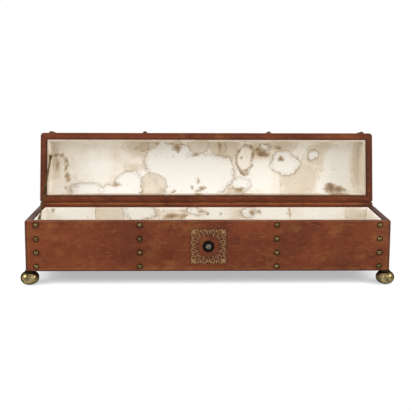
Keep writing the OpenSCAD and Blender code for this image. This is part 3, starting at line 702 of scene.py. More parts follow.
def leather_point(x, y, z, ox, oy, oz, marks, nails):
    """One point of a leather skin, pressed inwards by slow waves and by the nails near it."""
    size = sizes()
    p = Vector((x, y, z))
    wear_and_highlight, dirt_and_shade, nail_dirt_and_shadow = marks
    end = HALF_X - abs(x)
    side = min(y - CASE_LOW.y, CASE_HIGH.y - y)
    # Painted shade darkens the upright corners, where the walls turn away
    if abs(oz) < 0.5:
        dirt_and_shade = max(dirt_and_shade, 0.75 * math.exp(-((math.hypot(end, side) / (5.5 * MM)) ** 4)))
    if oy < -0.9:
        # A light line near each end of the front, with darker leather outside it
        wear_and_highlight = max(wear_and_highlight, 0.28 * math.exp(-(((end - END_LINE) / (1.6 * MM)) ** 2)))
        dirt_and_shade = max(dirt_and_shade, 0.32 * min(1, max(0, (END_LINE - end) / (2 * MM))))
    tooled = max(abs(x), abs(z - BOSS_Z))
    if oy < -0.9 and y < CENTRE_Y and TOOLED_FROM < tooled < TOOLED_TO:
        fade_in, fade_out = (tooled - TOOLED_FROM) / (4 * MM), (TOOLED_TO - tooled) / (6 * MM)
        dirt_and_shade = max(dirt_and_shade, 0.55 * min(1, fade_in, fade_out))
    slow, quick = noise.noise(p / (70 * MM)), noise.noise(p / (18 * MM))
    depth = size.wave * 0.6 * (0.5 + 0.5 * slow + 0.25 * (0.5 + 0.5 * quick))
    for place, facing in nails:
        gap = p - place
        if abs(gap.x) > NAIL_REACH:
            continue
        along = gap.dot(facing)
        far = (gap - facing * along).length
        if far < NAIL_REACH and abs(along) < NAIL_DEPTH:
            edge = far - size.nail_width / 2
            # The leather dips round each nail's rim, and dirt and a painted contact shadow darken it there
            depth += size.dimple * math.exp(-((edge / (2.2 * MM)) ** 2))
            nail_dirt_and_shadow = max(nail_dirt_and_shadow, math.exp(-((edge / (1.4 * MM)) ** 2)))
    q = p - Vector((ox, oy, oz)) * depth
    return (q.x, q.y, q.z), (wear_and_highlight, dirt_and_shade, nail_dirt_and_shadow)


def rim_profile(tone):
    """The leather's section over a rim, from outside to inside: (inset, drop below the rim, outward
    share, upward share, wear and highlight, dirt and shade). The tone darkens the flat of the rim."""
    size = sizes()
    e = size.edge
    inner = 1.1 * MM
    crown = 0.25 * MM
    rows = []
    # The rounded outer edge is lightened, partly wear and partly a painted highlight, and darkened at its
    # foot, partly dirt and partly painted shade
    for k in range(6):
        a = math.radians(90 * k / 5)
        rows.append((e - e * math.cos(a), e - e * math.sin(a), math.cos(a), math.sin(a),
                     0.35 * math.sin(2 * a), {0: 0.8, 1: 0.4}.get(k, 0.0)))
    span = size.rim - inner - e
    for k in range(1, 10):
        t = k / 10
        # Dark lines at both edges of the flat, partly dirt and partly painted shade
        shade = tone + {1: 0.5, 2: 0.25, 8: 0.3, 9: 0.55}.get(k, 0.0)
        rows.append((e + span * t, crown - crown * (1 - (2 * t - 1) ** 2), 0, 1, 0.0, shade))
    # The inner rounding and the turned-in edge are darkened as painted shade, with some dirt
    for k in range(4):
        a = math.radians(90 * k / 3)
        rows.append((size.rim - inner + inner * math.sin(a), crown + inner - inner * math.cos(a),
                     -math.sin(a), math.cos(a), 0.0, 0.75))
    rows.append((size.rim, TURNED_IN, -1, 0, 0.0, 1.0))
    return rows


def leather_ring(inset, front_corner, height_of, slope_of, row, rim, wear_and_shade, nails):
    """One ring of leather round the case. The row is (outward share, upward share, wear and highlight,
    dirt and shade), the rim is 1 where it faces up and -1 where it faces down, and the wear and shade are
    the strength of the folds, of the painted shade on the end rims and of the mitred joints, and how narrow
    those are."""
    out, up, wear_and_highlight, dirt_and_shade = row
    folds, ends, joints, width = wear_and_shade
    flat = up * rim > 0.9
    ring = []
    for x, y, ox, oy, mid in plan_ring(inset, sizes().cell, front_corner):
        drop = CORNER_DROP * mid**4 if up * rim > 0.7 else 0.0
        bent = mid if out > 0.5 else 0.0
        # The end rims are darkened as painted shade
        side = ends * abs(ox) * flat
        joint = joints * min(1, width * mid) * flat
        # The corner arcs are lightened a little and darkened more as painted shade; the rim's mitred joints
        # are dark seams
        marks = (max(folds * wear_and_highlight, 0.3 * bent), max(dirt_and_shade + side, 0.75 * bent, joint), 0.0)
        slope = slope_of(y, ox * out, oy * out, up)
        ring.append(leather_point(x, y + CENTRE_Y, height_of(y) - rim * drop, *slope, marks, nails))
    return ring


def base_leather_rings(nails):
    """The base's leather: a tuck under the case, the walls, the rim and the turned-in edge."""
    size = sizes()
    height = RIM_Z - CASE_LOW.z
    # The tuck under the case and the bottom edge are darkened fully as painted shade, with a lighter band
    # just above
    rows = [(2.2 * MM, 0.0, 0, -1, 0, 0.9), (1.0 * MM, 0.05 * MM, 0, -1, 0, 1.0),
            (0.25 * MM, 0.5 * MM, 1, 0, 0, 1.0), (0, 1.3 * MM, 1, 0, 0, 1.0)]
    steps = round((height - size.edge - 3 * MM) / size.cell)
    for k in range(steps + 1):
        z = 3 * MM + (height - size.edge - 3.3 * MM) * k / steps
        rows.append((0, z, 1, 0, 0.3 if k < 2 else 0.0, 0.2 if k == 0 else 0.0))
    for inset, drop, *rest in rim_profile(0.15):
        rows.append((inset, height - drop, *rest))
    wear_and_shade = (1, 0.6, 0.8, 1.6)
    return [
        leather_ring(inset, size.corner, lambda y, z=z: CASE_LOW.z + z, lambda y, *slope: slope, row, 1,
                     wear_and_shade, nails)
        for inset, z, *row in rows
    ]


def lid_arch():
    """The barrel top's outer radius, and the height of its axis with the lid shut."""
    size = sizes()
    radius = (HALF_Y**2 + size.rise**2) / (2 * size.rise)
    return radius, LID_Z + size.wall_height + size.rise - radius


def lid_leather_rings(nails):
    """The lid's leather, shut: the turned-in edge, the rim, the walls and the barrel top."""
    size = sizes()
    radius, centre_z = lid_arch()
    wear_and_shade = (0.5, 0.25, 0.6, 1.8)
    rings = []

    def arch(y):
        return centre_z + math.sqrt(radius**2 - y**2)

    def slope_of(y, ox, oy, up):
        """The way out of the skin, which leans with the barrel where it faces up."""
        return Vector((ox, oy + y / radius * up if up > 0 else oy, up)).normalized()

    def add_ring(inset, height_of, *row):
        """Adds the ring at an inset."""
        rings.append(
            leather_ring(inset, size.lid_corner, height_of, slope_of, row, -1, wear_and_shade, nails)
        )

    for inset, drop, out, up, wear_and_highlight, dirt_and_shade in reversed(rim_profile(0.1)):
        add_ring(inset, lambda y, d=drop: LID_Z + d, out, -up, wear_and_highlight, dirt_and_shade)
    steps = round(size.wall_height / size.cell)
    low = LID_Z + size.edge
    for k in range(1, steps + 1):
        t = k / steps
        add_ring(0, lambda y, t=t: low + (arch(HALF_Y if abs(y) > HALF_Y else y) - 2.6 * MM - low) * t,
                 1, 0, 0.0, 0.0)
    # The fold over the barrel top's edge, and then its skin, with a seam 4.2 mm in
    rows = [(0.3, 1.5, 0.8, 0.5, 0.5, 0.0), (0.9, 0.7, 0.6, 0.7, 0.8, 0.0),
            (1.8, 0.2, 0.3, 0.9, 0.6, 0.0), (2.8, 0.03, 0, 1, 0.2, 0.0),
            (3.6, 0.0, 0, 1, 0.0, 0.0), (4.2, 0.35, 0, 1, 0.0, 0.7)]
    rows += [(inset, 0.0, 0, 1, 0.0, 0.0) for inset in (4.8, 6.0, *(8 + 2.6 * k for k in range(26)))]
    for inset, drop, out, up, wear_and_highlight, dirt_and_shade in rows:
        if inset * MM <= HALF_Y - 0.5 * MM:
            add_ring(inset * MM, lambda y, d=drop: arch(y) - d * MM, out, up, wear_and_highlight, dirt_and_shade)
    return rings


class OBJECT_OT_leather_box_base_leather(bpy.types.Operator):
    """Covers the base in leather, rim and turned-in edge included"""

    bl_idname = "object.leather_box_base_leather"
    bl_label = "Base leather"

    def execute(self, context):
        rings = base_leather_rings(nail_places("base_nails"))
        skin = shell("base_leather", rings, "waxed_leather", False)
        point_outwards(skin)
        seat(skin, "base", ["base_leather_wrap"])
        finish_node("base_underside_leather", "waxed_leather")
        return {"FINISHED"}


class OBJECT_OT_leather_box_lid_leather(bpy.types.Operator):
    """Covers the lid in leather, walls and barrel top"""

    bl_idname = "object.leather_box_lid_leather"
    bl_label = "Lid leather"

    def execute(self, context):
        back = SWING.inverted()
        turn = back.to_3x3()
        nails = [(back @ place, turn @ facing) for place, facing in nail_places("lid_nails")]
        skin = shell("lid_leather", lid_leather_rings(nails), "waxed_leather", True)
        skin.data.transform(SWING)
        point_outwards(skin)
        seat(skin, "lid", ["lid_leather_wrap", "lid_leather_top"])
        return {"FINISHED"}


# Linings


def lining_panel(node, outline, thickness, place, mouth, edge):
    """A lining panel on board: an outline of (u, v) given a thickness, with its edges turned over.
    The place matrix puts (u, v, depth) into the frame. The edge at height mouth is soiled."""
    work = bmesh.new()
    face = work.faces.new([work.verts.new((u, v, 0)) for u, v in outline])
    raised = bmesh.ops.extrude_face_region(work, geom=[face])
    tops = [v for v in raised["geom"] if isinstance(v, bmesh.types.BMVert)]
    bmesh.ops.translate(work, verts=tops, vec=(0, 0, thickness))
    bmesh.ops.recalc_face_normals(work, faces=work.faces)
    sharp = [e for e in work.edges if e.calc_face_angle(0) > math.radians(30)]
    bmesh.ops.bevel(work, geom=sharp, offset=edge, segments=3, affect="EDGES", profile=0.5)
    name = node.replace("lining", "panel")
    mesh = bpy.data.meshes.new(name)
    work.to_mesh(mesh)
    work.free()
    mesh.transform(place)
    soiled = [float(abs(v.co.z - mouth) < 0.3 * MM) for v in mesh.vertices]
    keep_on_points(mesh, "soiled", "FLOAT", "value", soiled)
    mesh.polygons.foreach_set("use_smooth", [True] * len(mesh.polygons))
    made = new_object(name, mesh)
    made.modifiers.new("corners", "WEIGHTED_NORMAL").keep_sharp = True
    return flattened(made)


def upright(u, v, origin):
    """A placing matrix from two directions and an origin."""
    return Matrix.Translation(origin) @ Matrix((u, v, u.cross(v))).transposed().to_4x4()


def front_middle(node):
    """A matrix that stands a piece drawn flat on the front, behind the middle of a CAD node."""
    low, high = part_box(node)
    middle = Vector(((low.x + high.x) / 2, high.y, (low.z + high.z) / 2))
    return Matrix.Translation(middle) @ Matrix.Rotation(math.radians(90), 4, "X")


class OBJECT_OT_leather_box_linings(bpy.types.Operator):
    """Lines the base and the lid with stained panels"""

    bl_idname = "object.leather_box_linings"
    bl_label = "Linings"

    def execute(self, context):
        ways = Matrix.Identity(3)
        for side in ("front", "rear", "left", "right", "floor"):
            node = f"base_{side}_lining"
            low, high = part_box(node)
            span = high - low
            thin = min(range(3), key=lambda k: span[k])
            u, v = (k for k in range(3) if k != thin)
            outline = ((0, 0), (span[u], 0), (span[u], span[v]), (0, span[v]))
            # X and Z turn towards -Y, so a panel that is thin along Y is drawn from its back
            origin = Vector((low.x, high.y if thin == 1 else low.y, low.z))
            place = upright(ways[u], ways[v], origin)
            panel = lining_panel(node, outline, span[thin], place, -1, 1.2 * MM)
            panel.data.materials.append(material("base_lining"))
            seat(panel, "base", [node])
        self.lid_panels()
        return {"FINISHED"}

    def lid_panels(self):
        """The lid's four upright panels and its roof panel."""
        size = sizes()
        radius, centre_z = lid_arch()
        board, top, lining, wall, gap = 13.5 * MM, 7.5 * MM, 3 * MM, 4 * MM, 0.2 * MM
        under = radius - top - lining
        low = LID_Z + 1 * MM
        inner_x, inner_y = HALF_X - size.rim - wall, HALF_Y - size.rim - wall
        outer_x, outer_y = inner_x + wall, inner_y + wall

        def arch(y):
            return centre_z + math.sqrt(under**2 - y**2)

        pieces = []
        for side, name in ((-1, "front"), (1, "rear")):
            outline = [(inner_y * side, low), (outer_y * side, low)]
            outline += [(y * side, arch(y) - gap) for y in (outer_y, inner_y)]
            pieces.append((name, outline, 2 * outer_x, -outer_x))
        steps = 24
        top_edge = [inner_y - 2 * inner_y * k / steps for k in range(steps + 1)]
        outline = [(-inner_y, low), (inner_y, low)] + [(y, arch(y) - gap) for y in top_edge]
        pieces += [("left", outline, wall, -outer_x), ("right", outline, wall, inner_x)]
        for name, outline, depth, x in pieces:
            node = f"lid_{name}_lining"
            place = upright(Vector((0, 1, 0)), Vector((0, 0, 1)), Vector((x, CENTRE_Y, 0)))
            panel = lining_panel(node, outline, depth, place, low, 1.0 * MM)
            panel.data.transform(SWING)
            panel.data.materials.append(material("lid_lining"))
            seat(panel, "lid", [node])

        # The roof lining follows the bent board, and has come a little loose in slow waves
        columns, rows = 230, 40
        half_x, half_y = HALF_X - board, HALF_Y - board
        points = []
        for i in range(columns + 1):
            for j in range(rows + 1):
                x = -half_x + 2 * half_x * i / columns
                y = -half_y + 2 * half_y * j / rows
                drift = 0.5 + 0.5 * noise.noise(Vector((x / (90 * MM), y / (50 * MM), 3)))
                sag = 0.9 * MM * drift * max(0, 1 - (abs(y) / half_y) ** 6)
                points.append((x, y + CENTRE_Y, arch(y) - sag))
        starts = [i * (rows + 1) + j for i in range(columns) for j in range(rows)]
        faces = [(a, a + 1, a + rows + 2, a + rows + 1) for a in starts]
        panel = make_object("lid_roof_panel", points, faces, "lid_lining")
        thick = panel.modifiers.new("board", "SOLIDIFY")
        thick.thickness = lining - gap
        thick.offset = -1
        flattened(panel)
        panel.data.transform(SWING)
        point_outwards(panel)
        seat(panel, "lid", ["lid_top_lining"])


# Turned brass


class OBJECT_OT_leather_box_feet(bpy.types.Operator):
    """Turns the four bun feet"""

    bl_idname = "object.leather_box_feet"
    bl_label = "Bun feet"

    def execute(self, context):
        pad, pad_h, collar, collar_h, tip = 6.5 * MM, 1 * MM, 9.5 * MM, 2 * MM, 0.5 * MM
        for corner in ("front_left", "front_right", "rear_left", "rear_right"):
            low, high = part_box(corner + "_foot")
            height = high.z - low.z
            top = height - collar_h
            tube = (top - pad_h) / 2
            core = (high.x - low.x) / 2 - tube
            # The pad, the top and bottom of the bun and the collar are darkened: patina, and painted shade
            # where the bun turns away and meets the case
            profile = [(tip, 0, 0.4), (pad - 0.4 * MM, 0, 0.5), (pad, 0.4 * MM, 0.6),
                       (pad, pad_h - 0.2 * MM, 0.8)]
            for k in range(29):
                a = math.radians(-84 + 168 * k / 28)
                profile.append((core + tube * math.cos(a), pad_h + tube + tube * math.sin(a),
                                max(0, abs(a) - 0.8) * 1.2))
            profile += [(collar - 1.6 * MM, top - 0.1 * MM, 1.0), (collar - 0.3 * MM, top + 0.1 * MM, 1.0),
                        (collar, top + 0.6 * MM, 1.0), (collar, top + 1.3 * MM, 1.0),
                        (collar - 0.3 * MM, height - 0.05 * MM, 1.0), (tip, height, 1.0)]
            foot = turned(corner + "_bun_foot", profile, "bright_brass", 72)
            centre = (low + high) / 2
            foot.data.transform(Matrix.Translation((centre.x, centre.y, low.z)))
            point_outwards(foot)
            seat(foot, "base", [corner + "_foot"])
        return {"FINISHED"}


class OBJECT_OT_leather_box_boss(bpy.types.Operator):
    """Turns the stepped ring and the dome in the middle of the front"""

    bl_idname = "object.leather_box_boss"
    bl_label = "Boss"

    def execute(self, context):
        low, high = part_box("boss_ring")
        facing = front_middle("boss_ring")
        radius = (high.x - low.x) / 2 / MM
        # Profiles are in millimetres
        profile = [(6.4, 0.0, 0), (radius, 0.0, 0), (radius, 0.9, 0.1), (radius - 0.35, 1.3, 0.1),
                   (radius - 0.9, 1.45, 0.6), (radius - 1.1, 1.7, 0.9)]
        for k in range(13):
            a = math.radians(-35 + 215 * k / 12)
            profile.append((9.35 + 1.75 * math.cos(a), 2.2 + 1.75 * math.sin(a), 0.0 if 3 < k < 11 else 0.5))
        profile += [(7.2, 1.7, 0.9), (6.6, 1.5, 0.9), (6.4, 1.4, 0.9)]
        ring = turned("front_boss_ring", [(r * MM, z * MM, h) for r, z, h in profile], "black_bronze", 72)
        # The ring's crown is gadrooned with ten lobes
        for vertex in ring.data.vertices:
            reach = math.hypot(vertex.co.x, vertex.co.y)
            if vertex.co.z > 2.2 * MM and 7.6 * MM < reach < 11.2 * MM:
                lobe = math.cos(10 * math.atan2(vertex.co.y, vertex.co.x) + 0.6)
                vertex.co.z += 0.4 * MM * (lobe - 1) / 2
        profile = [(6.2, 1.2, 1), (6.2, 2.6, 0.8), (6.0, 3.2, 0.3), (5.4, 3.6, 0.1), (5.1, 3.7, 0.7),
                   (4.9, 4.1, 0.5)]
        for k in range(1, 10):
            a = math.radians(90 * k / 9)
            profile.append((4.9 * math.cos(a) + 0.02, 4.1 + 2.3 * math.sin(a), 0.0))
        dome = turned("front_boss_dome", [(r * MM, z * MM, h) for r, z, h in profile], "dark_bronze", 64)
        # The dome swells into five petals
        for vertex in dome.data.vertices:
            petal = math.cos(5 * math.atan2(vertex.co.y, vertex.co.x) + 0.5)
            if vertex.co.z > 3.9 * MM:
                vertex.co.z += 0.6 * MM * petal * min(1, math.hypot(vertex.co.x, vertex.co.y) / (3 * MM))
        for made, node, slot in ((ring, "boss_ring", "dark_bronze"), (dome, "boss_dome", "boss_bronze")):
            made.data.transform(facing)
            point_outwards(made)
            seat(made, "base", [node])
        return {"FINISHED"}


# Geometry Nodes


def new_tree(name, values):
    """A geometry tree with its named inputs at these values, and the sockets that give them."""
    tree = bpy.data.node_groups.new(name, "GeometryNodeTree")
    face = tree.interface
    face.new_socket("Geometry", in_out="OUTPUT", socket_type="NodeSocketGeometry")
    face.new_socket("Geometry", in_out="INPUT", socket_type="NodeSocketGeometry")
    for label, value in values.items():
        kind = "NodeSocketInt" if isinstance(value, int) else "NodeSocketFloat"
        face.new_socket(label, in_out="INPUT", socket_type=kind).default_value = value
    return tree, add(tree, "NodeGroupInput").outputs


def end_tree(tree, geometry, finish):
    """Realises the instances and sets the material."""
    real = add(tree, "GeometryNodeRealizeInstances", {"Geometry": geometry})
    dressed = add(tree, "GeometryNodeSetMaterial", {"Geometry": real, "Material": material(finish)})
    add(tree, "NodeGroupOutput", {0: dressed})
    return tree


def tarnish_and_shade_marked(tree, geometry, value, clean, dark):
    """Keeps how dark each point is, as a value goes from clean to dark, and smooths the faces: tarnish on
    the nails, painted shade at the foot of the gilt bars.
    """
    share = add(tree, "ShaderNodeMapRange", {"Value": value, "From Min": clean, "From Max": dark})
    marked = add(
        tree, "GeometryNodeStoreNamedAttribute", {"Name": "hollow", "Geometry": geometry, "Value": share},
        data_type="FLOAT", domain="POINT",
    )
    return add(tree, "GeometryNodeSetShadeSmooth", {"Geometry": marked})


def stood(tree, points, piece, lean=(0, 0, 0)):
    """Stands a piece on every point, the way that the point faces, with a lean."""
    facing = add(tree, "GeometryNodeInputNamedAttribute", {"Name": "facing"}, data_type="FLOAT_VECTOR")
    aim = add(tree, "ShaderNodeVectorMath", {0: facing, 1: lean}, operation="ADD")
    turn = add(tree, "FunctionNodeAlignRotationToVector", {"Vector": aim}, axis="Z")
    return add(
        tree, "GeometryNodeInstanceOnPoints", {"Points": points, "Instance": piece, "Rotation": turn},
    )


def put_tree(made, tree):
    """Puts a tree on an object, with each input set by its identifier."""
    modifier = made.modifiers.new(tree.name, "NODES")
    modifier.node_group = tree
    for item in tree.interface.items_tree:
        if item.in_out == "INPUT" and item.name != "Geometry":
            modifier[item.identifier] = item.default_value


def points_object(name, places):
    """A mesh of loose points, each with its facing."""
    mesh = bpy.data.meshes.new(name)
    mesh.from_pydata([tuple(p) for p, _ in places], [], [])
    keep_on_points(mesh, "facing", "FLOAT_VECTOR", "vector", [c for _, a in places for c in a])
    return new_object(name, mesh)


def nail_tree():
    """Domed nail heads on points: a cone of rings pressed into a dome, with its rim turned down."""
    size = sizes()
    tree, given = new_tree("nail_heads", {
        "Width": size.nail_width, "Rise": size.nail_rise, "Shank": 9 * MM, "Wobble": 0.05,
        "Seed": size.seed,
    })
    half = add(tree, "ShaderNodeMath", {0: given["Width"], 1: 0.5}, operation="MULTIPLY")
    disc = add(
        tree, "GeometryNodeMeshCone",
        {"Vertices": 32, "Side Segments": 9, "Radius Top": 0.0, "Depth": 1 * MM, "Radius Bottom": half},
        fill_type="NONE",
    )
    place = add(tree, "GeometryNodeInputPosition")
    x, y, _ = add(tree, "ShaderNodeSeparateXYZ", {0: place}).outputs
    flat = add(tree, "ShaderNodeCombineXYZ", {"X": x, "Y": y})
    far = add(tree, "ShaderNodeVectorMath", {0: flat}, operation="LENGTH").outputs["Value"]
    share = add(tree, "ShaderNodeMath", {0: far, 1: half}, operation="DIVIDE")
    # Height = rise * (1 - share^2.6), which is fuller than a ball and steeper at the rim
    power = add(tree, "ShaderNodeMath", {0: share, 1: 2.6}, operation="POWER")
    fall = add(tree, "ShaderNodeMath", {0: 1.0, 1: power}, operation="SUBTRACT")
    height = add(tree, "ShaderNodeMath", {0: fall, 1: given["Rise"]}, operation="MULTIPLY")
    sunk = add(tree, "ShaderNodeMath", {0: height, 1: -0.6 * MM}, operation="ADD")
    domed = add(tree, "ShaderNodeCombineXYZ", {"X": x, "Y": y, "Z": sunk})
    pressed = add(tree, "GeometryNodeSetPosition", {"Geometry": disc, "Position": domed})
    # The tarnish keeps to the rim
    head = tarnish_and_shade_marked(tree, pressed, share, 0.72, 1.0)
    shank = add(
        tree, "GeometryNodeMeshCylinder", {"Vertices": 10, "Radius": 0.9 * MM, "Depth": given["Shank"]},
    )
    down = add(tree, "ShaderNodeMath", {0: given["Shank"], 1: -0.5}, operation="MULTIPLY")
    below = add(tree, "ShaderNodeCombineXYZ", {"Z": down})
    driven = add(tree, "GeometryNodeTransform", {"Geometry": shank, "Translation": below})
    nail = add(tree, "GeometryNodeJoinGeometry", {"Geometry": [head, driven]})
    # Hand-driven nails lean a few degrees each way
    lean = add(tree, "FunctionNodeRandomValue", {"Seed": given["Seed"]}, data_type="FLOAT_VECTOR")
    centred = add(tree, "ShaderNodeVectorMath", {0: lean, 1: (0.5, 0.5, 0.5)}, operation="SUBTRACT")
    scaled = add(
        tree, "ShaderNodeVectorMath", {0: centred, "Scale": given["Wobble"]}, operation="SCALE",
    )
    return end_tree(tree, stood(tree, given["Geometry"], nail, scaled), "dark_brass")


class OBJECT_OT_leather_box_nails(bpy.types.Operator):
    """Drives the domed nails into the front, the lid's front wall and its top"""

    bl_idname = "object.leather_box_nails"
    bl_label = "Domed nails"

    def execute(self, context):
        tree = nail_tree()
        for body in ("base", "lid"):
            node = body + "_nails"
            heads = points_object(body + "_nail_heads", nail_places(node))
            put_tree(heads, tree)
            seat(flattened(heads), body, [node])
        return {"FINISHED"}


def chain_tree(values):
    """Links along X: a rounded rectangle of wire on every point of a line, each turned on from the
    last, between two end rings."""
    tree, given = new_tree("stay_chain_links", values)
    wire_r = add(tree, "ShaderNodeMath", {0: given["Wire"], 1: 0.5}, operation="MULTIPLY")
    link_r = add(tree, "ShaderNodeMath", {0: given["Link width"], 1: 0.4999}, operation="MULTIPLY")
    section = add(tree, "GeometryNodeCurvePrimitiveCircle", {"Resolution": 10, "Radius": wire_r})
    outline = add(
        tree, "GeometryNodeCurvePrimitiveQuadrilateral",
        {"Width": given["Link length"], "Height": given["Link width"]},
    )
    rounded = add(
        tree, "GeometryNodeFilletCurve", {"Count": 7, "Curve": outline, "Radius": link_r}, mode="POLY",
    )
    link = add(tree, "GeometryNodeCurveToMesh", {"Curve": rounded, "Profile Curve": section})
    step = add(tree, "ShaderNodeCombineXYZ", {"X": given["Pitch"]})
    half_step = add(
        tree, "ShaderNodeMath", {0: given["Pitch"], 1: 0.5, 2: given["First"]},
        operation="MULTIPLY_ADD",
    )
    start = add(tree, "ShaderNodeCombineXYZ", {"X": half_step})
    line = add(
        tree, "GeometryNodeMeshLine", {"Count": given["Count"], "Start Location": start, "Offset": step},
    )
    index = add(tree, "GeometryNodeInputIndex")
    number = add(tree, "ShaderNodeMath", {0: index, 1: 1.0}, operation="ADD")
    angle = add(tree, "ShaderNodeMath", {0: number, 1: given["Turn"]}, operation="MULTIPLY")
    turn = add(tree, "ShaderNodeCombineXYZ", {"X": angle})
    links = add(
        tree, "GeometryNodeInstanceOnPoints", {"Points": line, "Instance": link, "Rotation": turn},
    )
    ring_r = add(tree, "ShaderNodeMath", {0: given["Ring"], 1: 0.5}, operation="MULTIPLY")
    hoop = add(tree, "GeometryNodeCurvePrimitiveCircle", {"Resolution": 32, "Radius": ring_r})
    ring = add(tree, "GeometryNodeCurveToMesh", {"Curve": hoop, "Profile Curve": section})
    far = add(tree, "ShaderNodeMath", {0: given["Span"], 1: given["Ring slip"]}, operation="SUBTRACT")
    parts = [links]
    for source in (given["Ring slip"], far):
        at = add(tree, "ShaderNodeCombineXYZ", {"X": source})
        parts.append(add(tree, "GeometryNodeTransform", {"Geometry": ring, "Translation": at}))
    both = add(tree, "GeometryNodeJoinGeometry", {"Geometry": parts})
    smooth = add(tree, "GeometryNodeSetShadeSmooth", {"Geometry": both})
    return end_tree(tree, smooth, "chain_brass")


class OBJECT_OT_leather_box_stay(bpy.types.Operator):
    """Hangs the stay chain between its two screws"""

    bl_idname = "object.leather_box_stay"
    bl_label = "Stay chain"

    def execute(self, context):
        size = sizes()
        gap = 0.12 * MM
        chain_low, chain_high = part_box("stay_chain")
        x = (chain_low.x + chain_high.x) / 2
        ends = []
        for node in ("base_stay_screw", "lid_stay_screw"):
            low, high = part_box(node)
            ends.append(Vector((x, (low.y + high.y) / 2, (low.z + high.z) / 2)))
            finish_node(node, "dark_brass")
        span = (ends[1] - ends[0]).length
        inside = size.ring / 2 - size.wire / 2
        slip = inside - size.neck / 2 - gap
        first = slip + inside - gap / 2
        count = round((span - 2 * first) / size.link_pitch)
        pitch = (span - 2 * first) / count
        # Each link is a quarter turn on from the last, and a little more, to meet the upper ring
        rest = (180 if (count + 1) % 2 == 0 else 90) / (count + 1)
        chain = points_object("stay_chain_links", [])
        put_tree(chain, chain_tree({
            "Count": count, "Pitch": pitch, "Link length": pitch + size.wire + gap,
            "Link width": size.link_width, "Wire": size.wire, "Turn": math.radians(90 + rest),
            "Ring": size.ring, "Ring slip": slip, "First": first, "Span": span,
        }))
        flattened(chain)
        along = (ends[1] - ends[0]).normalized()
        side = Vector((1, 0, 0))
        turn = Matrix((along, side.cross(along), side)).transposed().to_4x4()
        chain.data.transform(Matrix.Translation(ends[0]) @ turn)
        point_outwards(chain)
        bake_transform(chain)
        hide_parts("stay_chain")
        return {"FINISHED"}


def scroll_tree():
    """A half-sunk bar along every curve, as thick as the curve's radius says."""
    tree, given = new_tree("gilt_relief", {"Bar": 1.3 * MM, "Flatness": 0.8})
    section = add(tree, "GeometryNodeCurvePrimitiveCircle", {"Resolution": 10, "Radius": 1.0})
    width = add(tree, "GeometryNodeInputRadius")
    scaled = add(tree, "ShaderNodeMath", {0: width, 1: given["Bar"]}, operation="MULTIPLY")
    bar = add(
        tree, "GeometryNodeCurveToMesh",
        {"Fill Caps": True, "Curve": given["Geometry"], "Profile Curve": section, "Scale": scaled},
    )
    place = add(tree, "GeometryNodeInputPosition")
    x, y, z = add(tree, "ShaderNodeSeparateXYZ", {0: place}).outputs
    low = add(tree, "ShaderNodeMath", {0: z, 1: given["Flatness"]}, operation="MULTIPLY")
    squashed = add(tree, "ShaderNodeCombineXYZ", {"X": x, "Y": y, "Z": low})
    relief = add(tree, "GeometryNodeSetPosition", {"Geometry": bar, "Position": squashed})
    # The gilding stays on the crowns; where the bar meets the leather it is darkened to brown as painted
    # shade
    return end_tree(tree, tarnish_and_shade_marked(tree, relief, low, 0.7 * MM, 0.2 * MM), "gilt_leather")


def spiral(cx, cy, wide, narrow, start, sweep, width):
    """A spiral arc in millimetres as (x, y, width) points, from wide to narrow radius."""
    steps = max(8, int(abs(sweep) / 14))
    found = []
    for k in range(steps + 1):
        t = k / steps
        r = wide + (narrow - wide) * t**0.8
        a = math.radians(start + sweep * t)
        found.append((cx + r * math.cos(a), cy + r * math.sin(a), width * (1.1 - 0.45 * t)))
    return found


def leaf(x0, y0, x1, y1, width, bend=0.0):
    """A pointed leaf from one point to another, widest past its middle."""
    found = []
    dx, dy = x1 - x0, y1 - y0
    for k in range(9):
        t = k / 8
        side = bend * math.sin(math.pi * t)
        found.append((x0 + dx * t - dy * side, y0 + dy * t + dx * side,
                      width * (0.12 + math.sin(math.pi * t**0.8) ** 0.9)))
    return found


def ornament_lines():
    """One eighth of the scroll ornament, above the boss and to its right, in millimetres."""
    return [
        spiral(8.4, 28.4, 6.4, 1.6, 205, -500, 0.8),
        spiral(23.2, 28.6, 6.4, 1.6, -35, 490, 0.8),
        spiral(16.0, 21.4, 3.4, 1.0, 70, -400, 0.7),
        leaf(0.0, 19.4, 0.0, 26.4, 0.9),
        leaf(0.0, 28.6, 0.0, 35.8, 1.1),
        leaf(15.8, 27.4, 15.8, 35.6, 0.9),
        leaf(27.4, 28.8, 31.0, 35.6, 0.8, 0.2),
        leaf(28.4, 28.7, 34.6, 34.9, 0.9),
        leaf(8.6, 19.6, 12.4, 23.4, 0.8, 0.2),
        leaf(11.6, 34.4, 13.2, 36.0, 0.7),
    ]


class OBJECT_OT_leather_box_ornament(bpy.types.Operator):
    """Presses the gilt scrolls and leaves round the boss"""

    bl_idname = "object.leather_box_ornament"
    bl_label = "Scroll ornament"

    def execute(self, context):
        low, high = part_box("scroll_ornament")
        fit = (high.x - low.x) / 2 / (ORNAMENT_HALF * MM)
        curve = bpy.data.curves.new("front_scrolls", "CURVE")
        curve.dimensions = "3D"
        eighths = [(math.radians(90 * quarter), hand) for quarter in range(4) for hand in (1, -1)]
        for a, hand in eighths:
            for line in ornament_lines():
                spline = curve.splines.new("POLY")
                spline.points.add(len(line) - 1)
                for point, (x, y, width) in zip(spline.points, line):
                    x *= hand
                    u = (x * math.cos(a) - y * math.sin(a)) * MM * fit
                    v = (x * math.sin(a) + y * math.cos(a)) * MM * fit
                    point.co = (u, v, 0, 1)
                    point.radius = width
        lines = new_object("front_scrolls", curve)
        put_tree(lines, scroll_tree())
        mesh = evaluated_mesh(lines)
        bpy.data.objects.remove(lines)
        mesh.transform(front_middle("scroll_ornament"))
        seat(new_object("front_scroll_relief", mesh), "base", ["scroll_ornament"])
        return {"FINISHED"}


# Hinges and hidden pieces


